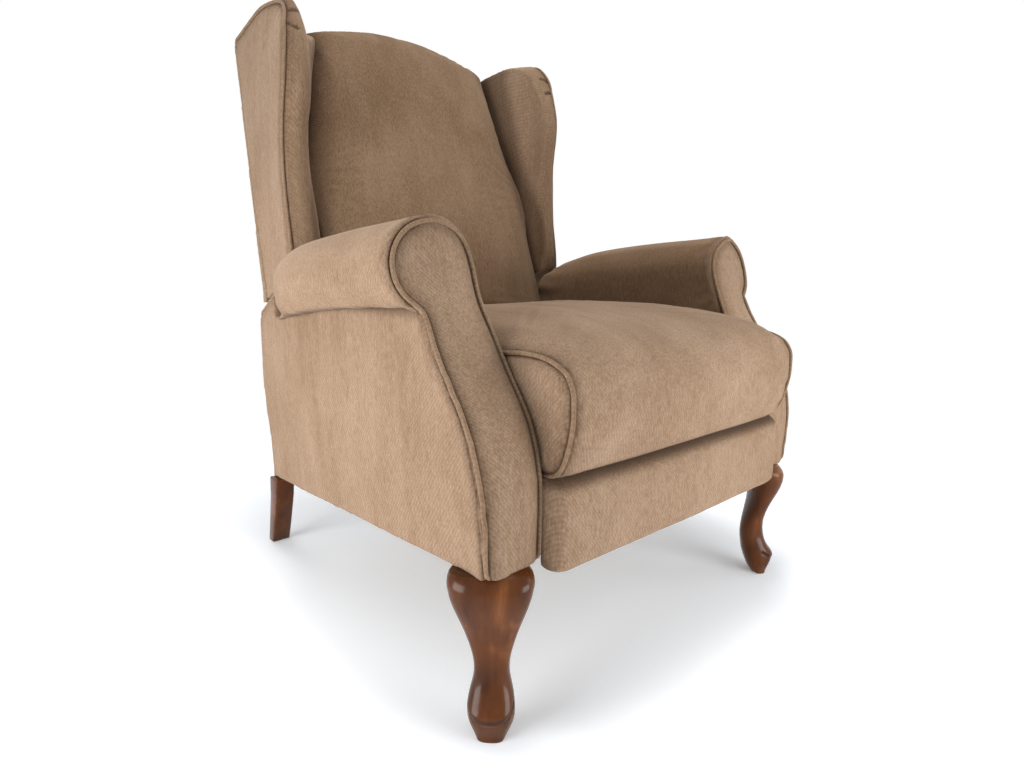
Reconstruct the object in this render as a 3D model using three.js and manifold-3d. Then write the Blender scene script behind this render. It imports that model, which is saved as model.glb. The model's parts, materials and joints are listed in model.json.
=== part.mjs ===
// High-leg wingback recliner, in millimetres. The chair faces -Y, +Z is up, and the origin is on the floor
// under the centre of the chair's outline. Left pieces are on the -X side.
import * as THREE from "three";
import { mergeVertices } from "three/addons/utils/BufferGeometryUtils.js";
import Module from "manifold-3d";

const wasm = await Module();
wasm.setup();

// Clearances
const touch = 0.4; // between pieces that rest on each other
const running = 0.6; // between flat links that pass each other
const pinPlay = 0.1; // between a pin and its hole, on the radius
const cushionGap = 6; // between the seat cushion and each arm
const overrun = 40; // how far a cutting tool runs past what it cuts
const weld = 0.001; // vertices closer than this are one

// Overall shell
const seatWidth = 544; // across the seat cushion
const armThickness = 92; // of an arm below its roll
const armFrontDepth = 355; // from the middle of the chair to the foot of the arm fronts
const armSetBack = 133; // how far the roll's front end stands behind the foot of the arm front
const armHeight = 644; // top of the arm roll at its front
const armDrop = 39; // how much lower the roll's back end is
const rollRadius = 64;
const armLength = 577; // from the foot of the arm front to the end of the roll
const shellRearDepth = 355; // from the middle of the chair to the lower rear edge
const shellFrontHeight = 226; // underside of the shell at the front
const shellRearHeight = 168; // and at the rear
const rearCornerHeight = 495; // where a side panel's rear edge meets its sloping shoulder
const rearCornerLean = 17; // how far that corner stands in front of the lower rear edge
const shoulderRun = 97; // level run of the sloping shoulder
const shoulderRise = 50; // and its rise
const panelThickness = 26; // upholstered side panel
const sideTaper = 15; // how much closer to the middle the side panel is at the rear
const panelFootTuck = 11; // how far the panel's lower front edge is drawn in
const facingDepth = 14; // padded board on each arm front
const frameThickness = 18; // timber side frame
const frameInset = 16; // side frame inside the outline of its panel
const railHeight = 132; // timber rail that carries the mechanism
const railTop = 372;
const railEnd = 24; // clearance of the rail from the ends of the side frame

// Legs
const kneeHalfWidth = 54; // cabriole leg, half of its widest part
const legInset = 17; // from the corner of the shell to the middle of the foot
const rearLegSide = 37; // square rear leg at its top
const rearLegFoot = 24; // and at the floor, seen from the side
const rearLegRake = 79; // how far the foot stands behind the top
const blockSide = 62; // corner block over a leg

// Seat
const seatCrownHeight = 514; // top of the cushion in the middle
const deckHeight = 386; // top of the seat frame
const seatFrameThickness = 20;
const seatFrameFront = -285;
const seatFrameRear = 150;
const seatRailWidth = 46;
const rollFront = -404; // front of the cushion's roll
const rollUnderside = 333;
const seamTuck = 13; // how far the cushion's sides are drawn in at top and bottom
const springCount = 4;
const springWire = 1.8; // radius
const springSwing = 22; // half of the zigzag's width
const springTurns = 7;
const deckPadThickness = 3;

// Back
const backSeatDepth = 190; // inside back surface at seat height
const backSeatHeight = 480;
const insideRake = 0.319;
const backThickness = 142.8; // from the inside to the outside surface at seat height
const outsideHeight = 517; // lower edge of the outside back
const outsideRake = 0.2766;
const backHalfWidth = 271; // inside back between the arms
const archEnd = 1022; // top of the inside back beside the wings
const archRise = 43; // and how much higher its middle is
const backPadBottom = 400;
const backCrown = 20;
const shellThickness = 14; // padded outside back
const backFrameThickness = 22;
const backFramePost = 42;
const lowerCoverThickness = 5; // cover behind the lower back
const lowerCoverLap = 18; // how far it laps the outside back
const lowerCoverHeight = 135;
const wingTipHalfWidth = 347; // rear edge of the wing at its lower tip
const wingTopHalfWidth = 322; // and at its upper corner
const wingCorner = 1016; // height of the upper rear corner
const wingApex = 1048;
const wingFrontHalf = 331;
const wingThickness = 48; // of its padded front border
const wingPlate = 14; // timber wing frame
const wingPlateInset = 27;
const wingGap = 2; // between the wing and the inside back cushion
const shoulderGap = 20; // between the wing's lower edge and the shoulder of the side panel

// Footrest
const footSideGap = 3; // between the footrest and each arm front
const footFront = -390;
const footBottom = 205;
const footTop = 328;
const footPadThickness = 29;
const footBoardThickness = 13;
const footBoardInset = 8;
const footCrown = 4;

// Mechanism: flat steel strips in layers, from the side rail inwards
const strip = 4.5; // thickness of a strip
const stripHalf = 11; // half of its width
const pinRadius = 5;
const bossRadius = 8;
const headThickness = 2.2;
const basePlateFront = -235;
const basePlateRear = 205;
const basePlateBottom = 262;
const seatPlateBottom = 318;
const swingLength = 60;
const swingRestAngle = 20; // degrees behind upright
const swingFootHeight = 284;
const frontSwingDepth = -150;
const rearSwingDepth = 115;
const hingeDepth = 220; // back hinge
const hingeHeight = 300;
const frontArmPivotDepth = -205;
const armPivotSpacing = 100;
const armPivotHeight = 352;
const armLinkLength = 132;
const armRestAngle = 66; // degrees behind straight down
const armOpenAngle = -73;
const crankLength = 28;
const footPivotDepth = -300;
const footTurn = 97; // degrees that the footrest turns on its carriers
const rodPinDepth = 16; // rod pin behind the footrest pivot
const rodEyePlay = 4; // extra radius of the rod's open eye
const bracketLeaf = 30; // width of the bracket's leaf on the footrest board
const tubeRadius = 8;
const crossTubeRadius = 11;
const frontRailThickness = 22;
const frontRailHeight = 60;
const hingeTail = 40; // how far before the hinge the seat plate starts to drop
const rodHalf = 6; // half of the control rod's width
const bracketHeight = 470; // upper end of the strips that hold the back frame
const crossTubeDepth = 78;
const bisections = 40;

// Rails and rear panel
const middleRailDepth = 42;
const middleRailLow = 200;
const rearPanelThickness = 12;
const rearPanelGap = 77; // between its top and the outside back, for the reclining back
const panelInset = 2;

// Softness
const footRoundness = 6;
const footEdgeShare = 0.4;
const backPadDepth = 62; // from the inside surface of the back to its frame
const backFrameDrop = 30; // top of the frame under the top of the cushion
const backSideShare = 0.03;
const backEdge = 14;
const wingFrontNear = 226;
const wingFrontSwell = 88;
const wingApexDepth = 291;
const wingRearDepth = 481;
const wingRound = 58;
const wingTopPowerShare = 1.6;
const wingInnerDrop = 16; // how much lower the top of the wing is at its inner edge
const wingSlope = 1.08;
const wingBulge = 4;
const wingPuff = 16;
const archDip = 10;
const outsideCrown = 3;

const rad = THREE.MathUtils.degToRad;
const lerp = THREE.MathUtils.lerp;
const smooth = (x, low, high) => THREE.MathUtils.smoothstep(x, low, high);

// Levels and lines that several pieces share
const armInner = seatWidth / 2 + cushionGap;
const armOuter = armInner + armThickness;
const footHalfWidth = armInner - footSideGap;
const rollCentreX = armInner + rollRadius;
const frontDepth = -armFrontDepth;
const rollEnd = frontDepth + armLength;
const frameOuter = armOuter - sideTaper - panelThickness - touch - running;
const frameInner = frameOuter - frameThickness;
const basePlateX = armInner - touch - strip;
const swingX = basePlateX - running - strip;
const seatPlateX = swingX - running - strip;
const layerOneX = seatPlateX - running - strip;
const layerTwoX = layerOneX - running - strip;
const layerThreeX = layerTwoX - running - strip;
const frameLow = deckHeight - seatFrameThickness;
const wingLow = rearCornerHeight + shoulderRise + shoulderGap;

const insideAt = (z) => backSeatDepth + insideRake * (z - backSeatHeight);
const outsideDepth = backSeatDepth + backThickness;
const outsideAt = (z) => outsideDepth + outsideRake * (z - backSeatHeight);
const archTop = archEnd + archRise;
const centreDepth = (rollFront + outsideAt(archTop - archDip)) / 2; // middle of the outline, as depths count
const bottomAt = (y) =>
  lerp(shellFrontHeight, shellRearHeight, (y - frontDepth) / (shellRearDepth - frontDepth));

// A table of shares read as a smooth curve
function follow(table, share) {
  const points = table.map(([at, value]) => new THREE.Vector2(at, value));
  const held = THREE.MathUtils.clamp(share, points[0].x, points[points.length - 1].x);
  let i = 0;
  while (i < points.length - 2 && held > points[i + 1].x) i++;
  const before = points[Math.max(i - 1, 0)];
  const after = points[Math.min(i + 2, points.length - 1)];
  const span = points[i + 1].x - points[i].x;
  const t = (held - points[i].x) / span;
  const slopeOne = ((points[i + 1].y - before.y) / (points[i + 1].x - before.x)) * span;
  const slopeTwo = ((after.y - points[i].y) / (after.x - points[i].x)) * span;
  const t2 = t * t;
  const t3 = t2 * t;
  return (
    (2 * t3 - 3 * t2 + 1) * points[i].y +
    (t3 - 2 * t2 + t) * slopeOne +
    (3 * t2 - 2 * t3) * points[i + 1].y +
    (t3 - t2) * slopeTwo
  );
}

// Arm front: set back behind its foot, by height
const faceShares = [
  [0, 0],
  [0.2, -0.012],
  [0.3, 0.03],
  [0.42, 0.16],
  [0.58, 0.52],
  [0.74, 0.82],
  [0.86, 0.94],
  [1, 1],
];
const faceAt = (z) =>
  frontDepth + armSetBack * follow(faceShares, (z - shellFrontHeight) / (armHeight - shellFrontHeight));

// Solids

function solid(geometry) {
  const bare = new THREE.BufferGeometry();
  bare.setAttribute("position", geometry.getAttribute("position"));
  if (geometry.index) bare.setIndex(geometry.index);
  const merged = mergeVertices(bare, weld);
  const vertProperties = Float32Array.from(merged.attributes.position.array);
  const triVerts = Uint32Array.from(merged.index.array);
  const made = new wasm.Manifold(new wasm.Mesh({ numProp: 3, vertProperties, triVerts }));
  if (made.volume() > 0) return made;
  for (let i = 0; i < triVerts.length; i += 3) {
    [triVerts[i], triVerts[i + 1]] = [triVerts[i + 1], triVerts[i]];
  }
  return new wasm.Manifold(new wasm.Mesh({ numProp: 3, vertProperties, triVerts }));
}

function geometryOf(body) {
  const mesh = body.getMesh();
  const geometry = new THREE.BufferGeometry();
  geometry.setAttribute("position", new THREE.Float32BufferAttribute(mesh.vertProperties, 3));
  geometry.setIndex(new THREE.Uint32BufferAttribute(mesh.triVerts, 1));
  geometry.computeVertexNormals();
  return geometry;
}

const unitX = new THREE.Vector3(1, 0, 0);
const unitY = new THREE.Vector3(0, 1, 0);
const unitZ = new THREE.Vector3(0, 0, 1);
const frames = {
  x: new THREE.Matrix4().makeBasis(unitY, unitZ, unitX),
  y: new THREE.Matrix4().makeBasis(unitX, unitZ, unitY),
  z: new THREE.Matrix4().makeBasis(unitX, unitY, unitZ),
};

// An outline in the plane across an axis, drawn out along that axis
function prism(axis, outline, low, high, holes = []) {
  const shape = new THREE.Shape(outline.map(([a, b]) => new THREE.Vector2(a, b)));
  shape.holes = holes.map((hole) => new THREE.Path(hole.map(([a, b]) => new THREE.Vector2(a, b))));
  const geometry = new THREE.ExtrudeGeometry(shape, { depth: high - low, bevelEnabled: false });
  geometry.translate(0, 0, low);
  geometry.applyMatrix4(frames[axis]);
  return solid(geometry);
}

function block(x, y, z) {
  const geometry = new THREE.BoxGeometry(x[1] - x[0], y[1] - y[0], z[1] - z[0]);
  geometry.translate((x[0] + x[1]) / 2, (y[0] + y[1]) / 2, (z[0] + z[1]) / 2);
  return solid(geometry);
}

const pinSides = 20;
function circle([a, b], radius, sides = pinSides) {
  return Array.from({ length: sides }, (_, i) => {
    const turn = (2 * Math.PI * i) / sides;
    return [a + radius * Math.cos(turn), b + radius * Math.sin(turn)];
  });
}

const pin = (at, radius, low, high) => prism("x", circle(at, radius), low, high);

// Straight strip with round ends round two points
function bar([ay, az], [by, bz], radius, endRadius = radius) {
  const along = Math.atan2(bz - az, by - ay);
  const steps = 8;
  const half = (centre, size, from) =>
    Array.from({ length: steps + 1 }, (_, i) => {
      const turn = along + from + (Math.PI * i) / steps;
      return [centre[0] + size * Math.cos(turn), centre[1] + size * Math.sin(turn)];
    });
  return [...half([by, bz], endRadius, -Math.PI / 2), ...half([ay, az], radius, Math.PI / 2)];
}

// A skin through rings of as many points each, with flat ends
function loft(rings, across, up) {
  const count = rings[0].length;
  const index = [];
  for (let i = 0; i + 1 < rings.length; i++) {
    for (let j = 0; j < count; j++) {
      const k = (j + 1) % count;
      const [a, b, c, d] = [i * count + j, i * count + k, (i + 1) * count + k, (i + 1) * count + j];
      index.push(a, b, c, a, c, d);
    }
  }
  const area = (p, q, r) => (q.x - p.x) * (r.y - p.y) - (q.y - p.y) * (r.x - p.x);
  [rings[0], rings[rings.length - 1]].forEach((ring, end) => {
    const flat = ring.map((p) => new THREE.Vector2(p[across], p[up]));
    const base = end ? (rings.length - 1) * count : 0;
    const turn = Math.sign(THREE.ShapeUtils.area(flat)) * (end ? 1 : -1);
    for (const [a, b, c] of THREE.ShapeUtils.triangulateShape(flat, [])) {
      const forward = area(flat[a], flat[b], flat[c]) * turn > 0;
      index.push(base + a, base + (forward ? b : c), base + (forward ? c : b));
    }
  });
  const geometry = new THREE.BufferGeometry();
  const places = rings.flat().flatMap((p) => [p.x, p.y, p.z]);
  geometry.setAttribute("position", new THREE.Float32BufferAttribute(places, 3));
  geometry.setIndex(index);
  return solid(geometry);
}

// A box whose surface points are moved by a rule; each of u, v and w runs from -1 to 1
function softBox(stepsX, stepsY, stepsZ, place) {
  const geometry = new THREE.BoxGeometry(2, 2, 2, stepsX, stepsY, stepsZ);
  const position = geometry.getAttribute("position");
  for (let i = 0; i < position.count; i++) {
    position.setXYZ(i, ...place(position.getX(i), position.getY(i), position.getZ(i)));
  }
  return solid(geometry);
}

const mirrored = (body, side) => (side > 0 ? body : body.mirror([1, 0, 0]));

const chair = new THREE.Group();
function add(name, body, material) {
  const mesh = new THREE.Mesh(geometryOf(body.translate([0, -centreDepth, 0])), material);
  mesh.name = name;
  chair.add(mesh);
  return mesh;
}
function addPair(name, body, material) {
  add(name + "_right", mirrored(body, 1), material);
  add(name + "_left", mirrored(body, -1), material);
}

const fabric = new THREE.MeshStandardMaterial({ color: 0xa98c72, roughness: 0.95 });
const lining = new THREE.MeshStandardMaterial({ color: 0x2b2a29, roughness: 0.9 });
const darkWood = new THREE.MeshStandardMaterial({ color: 0x4a2412, roughness: 0.3 });
const plainWood = new THREE.MeshStandardMaterial({ color: 0xc9a878, roughness: 0.7 });
const steel = new THREE.MeshStandardMaterial({ color: 0x3a3c40, roughness: 0.45, metalness: 0.9 });

// Arms

const rollAxisShares = [
  [0, 0],
  [0.3, 0.15],
  [0.6, 0.42],
  [1, 1],
];
const rollStart = frontDepth + armSetBack;
const rollAxisAt = (y) =>
  armHeight - rollRadius - armDrop * follow(rollAxisShares, (y - rollStart) / (rollEnd - rollStart));
const creaseShare = 0.72; // how far below its axis the roll meets the side panel, as a share of its radius
const creaseAt = (y) => rollAxisAt(y) - creaseShare * rollRadius;

// Drawn in towards the roll's back end
const endRoundShare = 1.75; // length of the rounding, as a share of the roll's radius
const endTaperShare = 0.45;
const endRoundingShare = 0.6;
function endScale(y) {
  const round = endRoundShare * rollRadius;
  const t = THREE.MathUtils.clamp((y - rollEnd + round) / round, 0, 1);
  return (1 - endTaperShare * t) * (1 - endRoundingShare * t ** 6);
}

// Outer line of the arm below its roll, by height
const outerShares = [
  [0, 1],
  [0.3, 0.22],
  [0.42, 0.02],
  [1, 0],
];
const outerAt = (z) => {
  const share = (z - shellFrontHeight) / (creaseAt(rollStart) - shellFrontHeight);
  return armOuter - panelFootTuck * follow(outerShares, share);
};

const rollSteps = 18;
const rollTuckShare = 0.93; // how much of the way to the crease the roll's underside is round
const sinkShare = 0.6; // how little the roll loses of its height towards the rear
const panelLevelShares = [0.7, 0.45, 0.3, 0.15];
function armRing(y) {
  const axis = rollAxisAt(y);
  const scale = endScale(y);
  const low = shellRearHeight - overrun;
  const ring = [new THREE.Vector3(armInner, y, low)];
  const from = Math.PI;
  const to = -Math.asin(creaseShare) * rollTuckShare;
  for (let i = 0; i <= rollSteps; i++) {
    const turn = lerp(from, to, i / rollSteps);
    const reach = Math.cos(turn) > 0 ? rollRadius * scale : rollRadius;
    const height = Math.sin(turn) > 0 ? rollRadius * lerp(scale, 1, sinkShare) : rollRadius;
    ring.push(new THREE.Vector3(rollCentreX + reach * Math.cos(turn), y, axis + height * Math.sin(turn)));
  }
  const creaseX = armOuter;
  ring.push(new THREE.Vector3(creaseX, y, creaseAt(y)));
  for (const share of panelLevelShares) {
    const z = lerp(shellFrontHeight, creaseAt(y), share);
    ring.push(new THREE.Vector3(outerAt(z), y, z));
  }
  ring.push(new THREE.Vector3(outerAt(shellFrontHeight), y, shellFrontHeight));
  ring.push(new THREE.Vector3(outerAt(shellFrontHeight), y, low));
  return ring;
}
const armSteps = 13;
const crowdShare = 0.55; // how much closer the sections stand towards the roll's end
const armStations = Array.from({ length: armSteps }, (_, i) => {
  const left = 1 - i / (armSteps - 1);
  return lerp(frontDepth - facingDepth, rollEnd, 1 - left * lerp(1, left, crowdShare));
});
const armLoft = loft(armStations.map(armRing), "x", "z");

// Side outline of the arm front, moved back by a distance
const faceSteps = 16;
function faceLine(back) {
  const top = armHeight + overrun;
  const low = shellRearHeight - overrun;
  const line = [[faceAt(shellFrontHeight) + back, low]];
  for (let i = 0; i <= faceSteps; i++) {
    const z = lerp(shellFrontHeight, armHeight, i / faceSteps);
    line.push([faceAt(z) + back, z]);
  }
  line.push([faceAt(armHeight) + back, top]);
  return line;
}
const wide = armOuter + rollRadius + overrun;
const behindFace = (back) =>
  prism(
    "x",
    [
      ...faceLine(back),
      [shellRearDepth + overrun, armHeight + overrun],
      [shellRearDepth + overrun, shellRearHeight - overrun],
    ],
    0,
    wide,
  );
const aboveBottom = prism(
  "x",
  [
    [frontDepth - overrun, bottomAt(frontDepth - overrun)],
    [shellRearDepth + overrun, bottomAt(shellRearDepth + overrun)],
    [shellRearDepth + overrun, armHeight + overrun],
    [frontDepth - overrun, armHeight + overrun],
  ],
  0,
  wide,
);
const armWhole = armLoft.intersect(aboveBottom);
const facing = armWhole.intersect(behindFace(0)).subtract(behindFace(facingDepth));
const armBehind = armWhole.intersect(behindFace(facingDepth + touch));

// Side outline of a panel: foot, rear edge, sloping shoulder and the line under the roll
const cornerDepth = shellRearDepth - rearCornerLean;
const shoulderDepth = cornerDepth - shoulderRun;
const shoulderTop = rearCornerHeight + shoulderRise;
function sideOutline(inset) {
  const bottom = (y) => bottomAt(y) + inset;
  const front = frontDepth + facingDepth + touch + inset;
  const rear = shellRearDepth - inset;
  const corner = cornerDepth - inset;
  return [
    [front, bottom(front)],
    [rear, bottom(rear)],
    [corner, rearCornerHeight - inset],
    [shoulderDepth, shoulderTop - inset],
    [rollEnd - endRoundShare * rollRadius, shoulderTop - inset],
    [front, shoulderTop - inset],
  ];
}

// Side frame: a plywood panel with a window, and the rail that carries the mechanism
const windowShares = { low: 0.16, high: 0.72, front: 0.3, rear: 0.83 };
const plateTop = creaseAt(rollStart) - frameInset;
const plateOutline = sideOutline(frameInset).map(([y, z]) => [y, Math.min(z, plateTop)]);
const plateFront = plateOutline[0][0];
const plateRear = plateOutline[2][0];
const windowLow = lerp(shellFrontHeight, plateTop, windowShares.low) + railHeight;
const windowHigh = lerp(shellFrontHeight, plateTop, windowShares.high);
const windowOutline = [
  [lerp(plateFront, plateRear, windowShares.front), windowLow],
  [lerp(plateFront, plateRear, windowShares.rear), windowLow],
  [lerp(plateFront, plateRear, windowShares.rear), Math.max(windowHigh, windowLow + railEnd)],
  [lerp(plateFront, plateRear, windowShares.front), Math.max(windowHigh, windowLow + railEnd)],
];
const sidePlate = prism("x", plateOutline, frameInner, frameOuter, [windowOutline]).intersect(
  behindFace(facingDepth + touch + touch),
);
const railLow = railTop - railHeight;
const railFront = plateFront + railEnd;
const railRear = plateRear - railEnd - railEnd;
const sideRail = block([armInner, frameInner + touch], [railFront, railRear], [railLow, railTop]);
const sideFrame = sidePlate.add(sideRail);

const plateRoom = prism(
  "x",
  plateOutline.map(([y, z]) => [y, z > rearCornerHeight - frameInset ? z + touch : z - touch]),
  frameInner - touch,
  frameOuter + touch,
);
const padLow = railTop + touch + touch;
const rollRegion = prism(
  "x",
  [
    ...armStations.map((y) => [y, creaseAt(y)]),
    [rollEnd + overrun, creaseAt(rollEnd)],
    [rollEnd + overrun, armHeight + overrun],
    [frontDepth - overrun, armHeight + overrun],
    [frontDepth - overrun, creaseAt(frontDepth - overrun)],
  ],
  0,
  wide,
);
const innerRegion = block(
  [0, frameOuter + touch],
  [frontDepth - overrun, rollEnd + overrun],
  [padLow, armHeight],
);
const armPad = armBehind.intersect(innerRegion.add(rollRegion)).subtract(plateRoom);

// Side panel: gently full, drawn in at its foot and towards the rear
const panelFull = 3;
const panelStepsY = 9;
const panelStepsZ = 8;
const panelSkin = softBox(1, panelStepsY, panelStepsZ, (u, v, w) => {
  const y = lerp(frontDepth, shellRearDepth, (v + 1) / 2);
  const z = lerp(shellRearHeight - overrun, shoulderTop + overrun, (w + 1) / 2);
  const back = (v + 1) / 2;
  const full = panelFull * (1 - v * v) * (1 - w * w);
  const outer = outerAt(Math.max(z, shellFrontHeight)) - sideTaper * back + full;
  return [u > 0 ? outer : frameOuter + touch, y, z];
});
const underRoll = rollRegion.translate([0, 0, -touch - touch]);
const returnDepth = 12; // the panel's cover turned in round the rear edge of the frame
const rearLine = sideOutline(0);
const rearReturn = prism(
  "x",
  [
    [rearLine[1][0] - returnDepth, rearLine[1][1]],
    rearLine[1],
    rearLine[2],
    [rearLine[2][0] - returnDepth, rearLine[2][1]],
  ],
  frameInner,
  frameOuter + panelThickness / 2,
).subtract(plateRoom);
const sidePanel = panelSkin
  .intersect(prism("x", sideOutline(0), 0, wide))
  .intersect(behindFace(facingDepth + touch))
  .subtract(underRoll)
  .add(rearReturn);

addPair("arm_facing", facing, fabric);
addPair("arm_pad", armPad, fabric);
addPair("side_panel", sidePanel, fabric);
addPair("side_frame", sideFrame, plainWood);

// Corner blocks and rails between the two sides

const cornerBlock = (front, rear) =>
  prism(
    "x",
    [
      [front, bottomAt(front) + touch],
      [rear, bottomAt(rear) + touch],
      [rear, railLow - touch],
      [front, railLow - touch],
    ],
    armInner,
    frameInner - touch,
  );
addPair("front_block", cornerBlock(railFront, railFront + blockSide), plainWood);
addPair("rear_block", cornerBlock(railRear - blockSide, railRear), plainWood);

const acrossInside = [-armInner + touch, armInner - touch];
const rearRail = block(
  acrossInside,
  [railRear - frontRailThickness, railRear],
  [bottomAt(railRear) + touch, bottomAt(railRear) + frontRailHeight],
);
add("rear_rail", rearRail, plainWood);
const middleRail = block(
  acrossInside,
  [middleRailDepth, middleRailDepth + frontRailThickness],
  [middleRailLow, middleRailLow + frontRailHeight],
);
add("middle_rail", middleRail, plainWood);

// Covered panel that closes the base at the rear
const rearPanelHalf = frameInner - touch;
const rearPanelTop = outsideHeight - rearPanelGap;
const rearPanel = prism(
  "x",
  [
    [shellRearDepth - panelInset, bottomAt(shellRearDepth) + touch],
    [shellRearDepth - panelInset - rearPanelThickness, bottomAt(shellRearDepth) + touch],
    [cornerDepth - rearPanelThickness, rearPanelTop],
    [cornerDepth, rearPanelTop],
  ],
  -rearPanelHalf,
  rearPanelHalf,
);
add("base_rear_panel", rearPanel, fabric);

// Legs

// Height share, offset of the middle towards the corner, half along the diagonal, half across, as shares
const legRingShares = [
  [0, -0.04, 0.26, 0.43],
  [0.035, -0.09, 0.32, 0.5],
  [0.097, -0.1, 0.435, 0.575],
  [0.159, -0.11, 0.52, 0.576],
  [0.199, -0.15, 0.533, 0.57],
  [0.256, -0.28, 0.44, 0.53],
  [0.331, -0.37, 0.4, 0.433],
  [0.406, -0.39, 0.37, 0.42],
  [0.486, -0.37, 0.333, 0.48],
  [0.574, -0.295, 0.322, 0.58],
  [0.663, -0.2, 0.343, 0.69],
  [0.746, -0.126, 0.415, 0.79],
  [0.835, -0.075, 0.48, 0.89],
  [0.905, -0.13, 0.57, 0.95],
  [0.963, -0.22, 0.62, 1],
  [1, -0.28, 0.63, 1],
];
const legSides = 16;
const legSquareness = 0.8; // 1 gives round sections, less gives squarer ones
const squared = (value) => Math.sign(value) * Math.abs(value) ** legSquareness;
const footAt = [outerAt(shellFrontHeight) - legInset, frontDepth + legInset];
const frontLegTop = shellFrontHeight + touch;
const underShell = prism(
  "x",
  [
    [-wide, 0],
    [wide, 0],
    [wide, bottomAt(wide) - touch],
    [-wide, bottomAt(-wide) - touch],
  ],
  -wide,
  wide,
);
function frontLegRing([share, offset, along, across]) {
  return Array.from({ length: legSides }, (_, i) => {
    const turn = (2 * Math.PI * i) / legSides;
    const a = kneeHalfWidth * (offset + along * squared(Math.cos(turn)));
    const b = kneeHalfWidth * across * squared(Math.sin(turn));
    return new THREE.Vector3(
      footAt[0] + (a + b) * Math.SQRT1_2,
      footAt[1] + (b - a) * Math.SQRT1_2,
      frontLegTop * share,
    );
  });
}
addPair("front_leg", loft(legRingShares.map(frontLegRing), "x", "y").intersect(underShell), darkWood);

const rearLegTop = bottomAt(shellRearDepth) - touch;
const rakeShares = [
  [0, 1],
  [0.25, 0.72],
  [0.5, 0.45],
  [0.75, 0.19],
  [1, 0],
];
function rearLegRing([share, rake]) {
  const rear = shellRearDepth - panelInset + rearLegRake * rake;
  const deep = lerp(rearLegFoot, rearLegSide, share);
  const out = armOuter - sideTaper - lerp(legInset, touch, share);
  return [
    [out - rearLegSide, rear - deep],
    [out, rear - deep],
    [out, rear],
    [out - rearLegSide, rear],
  ].map(([x, y]) => new THREE.Vector3(x, y, rearLegTop * share));
}
addPair("rear_leg", loft(rakeShares.map(rearLegRing), "x", "y"), darkWood);

// Mechanism

const pivot = (from, length, degreesForward) => [
  from[0] - length * Math.sin(rad(degreesForward)),
  from[1] - length * Math.cos(rad(degreesForward)),
];
const inLayer = (outline, x, holes = []) => prism("x", outline, x, x + strip, holes);
const hole = (at) => circle(at, pinRadius + pinPlay);

// Standing links that carry the seat
const swingFeet = [frontSwingDepth, rearSwingDepth].map((y) => [y, swingFootHeight]);
const swingTops = swingFeet.map((foot) => pivot(foot, -swingLength, swingRestAngle));
const plateEdge = stripHalf + stripHalf;
const rounded = (y, z, r) => {
  const steps = 4;
  const corners = [
    [y[1] - r, z[0] + r, -Math.PI / 2],
    [y[1] - r, z[1] - r, 0],
    [y[0] + r, z[1] - r, Math.PI / 2],
    [y[0] + r, z[0] + r, Math.PI],
  ];
  return corners.flatMap(([a, b, from]) =>
    Array.from({ length: steps + 1 }, (_, i) => {
      const turn = from + (Math.PI / 2) * (i / steps);
      return [a + r * Math.cos(turn), b + r * Math.sin(turn)];
    }),
  );
};

const plateOutlineBase = rounded(
  [basePlateFront, basePlateRear],
  [basePlateBottom, basePlateBottom + 2 * plateEdge],
  stripHalf,
);
const plateBolts = [0, 0.5, 1].map((share) => [
  lerp(basePlateFront + plateEdge, basePlateRear - plateEdge, share),
  swingFootHeight,
]);
let basePlate = inLayer(plateOutlineBase, basePlateX);
for (const at of plateBolts) {
  basePlate = basePlate.add(pin(at, bossRadius, basePlateX - headThickness, basePlateX + strip / 2));
}
const swingHeadX = swingX - running / 2;
for (const foot of swingFeet) {
  basePlate = basePlate.add(pin(foot, pinRadius, swingX - running, basePlateX + strip / 2));
  basePlate = basePlate.add(pin(foot, bossRadius, swingHeadX - headThickness, swingHeadX));
}
addPair("mech_base_plate", basePlate, steel);
const crossHalf = basePlateX - touch;
const crossTube = pin([crossTubeDepth, swingFootHeight], crossTubeRadius, -crossHalf, crossHalf);
add("base_cross_tube", crossTube, steel);

["seat_front_link", "seat_rear_link"].forEach((name, i) => {
  const link = inLayer(bar(swingFeet[i], swingTops[i], stripHalf), swingX, [hole(swingFeet[i])])
    .add(pin(swingTops[i], pinRadius, layerOneX + strip - headThickness, swingX + strip / 2))
    .add(pin(swingTops[i], bossRadius, layerOneX + strip - headThickness, layerOneX + strip));
  addPair(name, link, steel);
});

// Plate along each side of the seat, with the back hinge at its tail
const hinge = [hingeDepth, hingeHeight];
const armPivots = [
  [frontArmPivotDepth, armPivotHeight],
  [frontArmPivotDepth + armPivotSpacing, armPivotHeight],
];
const seatPlateFront = frontArmPivotDepth - plateEdge;
const hingeEar = circle(hinge, stripHalf + pinRadius, pinSides - 4);
const seatPlateOutline = [
  [seatPlateFront, deckHeight - touch],
  [seatPlateFront, armPivotHeight - stripHalf],
  [frontArmPivotDepth, seatPlateBottom],
  [hingeDepth - hingeTail, seatPlateBottom],
  ...hingeEar.slice(10),
  ...hingeEar.slice(0, 3),
  [hingeDepth - touch, deckHeight - seatFrameThickness],
  [seatFrameRear, deckHeight - touch],
];
let seatPlate = inLayer(seatPlateOutline, seatPlateX, swingTops.map(hole));
for (const at of armPivots) {
  seatPlate = seatPlate
    .add(pin(at, bossRadius - running, layerTwoX + strip + running / 2, seatPlateX + strip / 2))
    .add(pin(at, pinRadius, layerTwoX - running, seatPlateX + strip / 2))
    .add(pin(at, bossRadius, layerTwoX - running / 2 - headThickness, layerTwoX - running / 2));
}
seatPlate = seatPlate
  .add(pin(hinge, pinRadius, layerOneX - running, seatPlateX + strip / 2))
  .add(pin(hinge, bossRadius, layerOneX - running / 2 - headThickness, layerOneX - running / 2));
addPair("seat_side_plate", seatPlate, steel);

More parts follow.
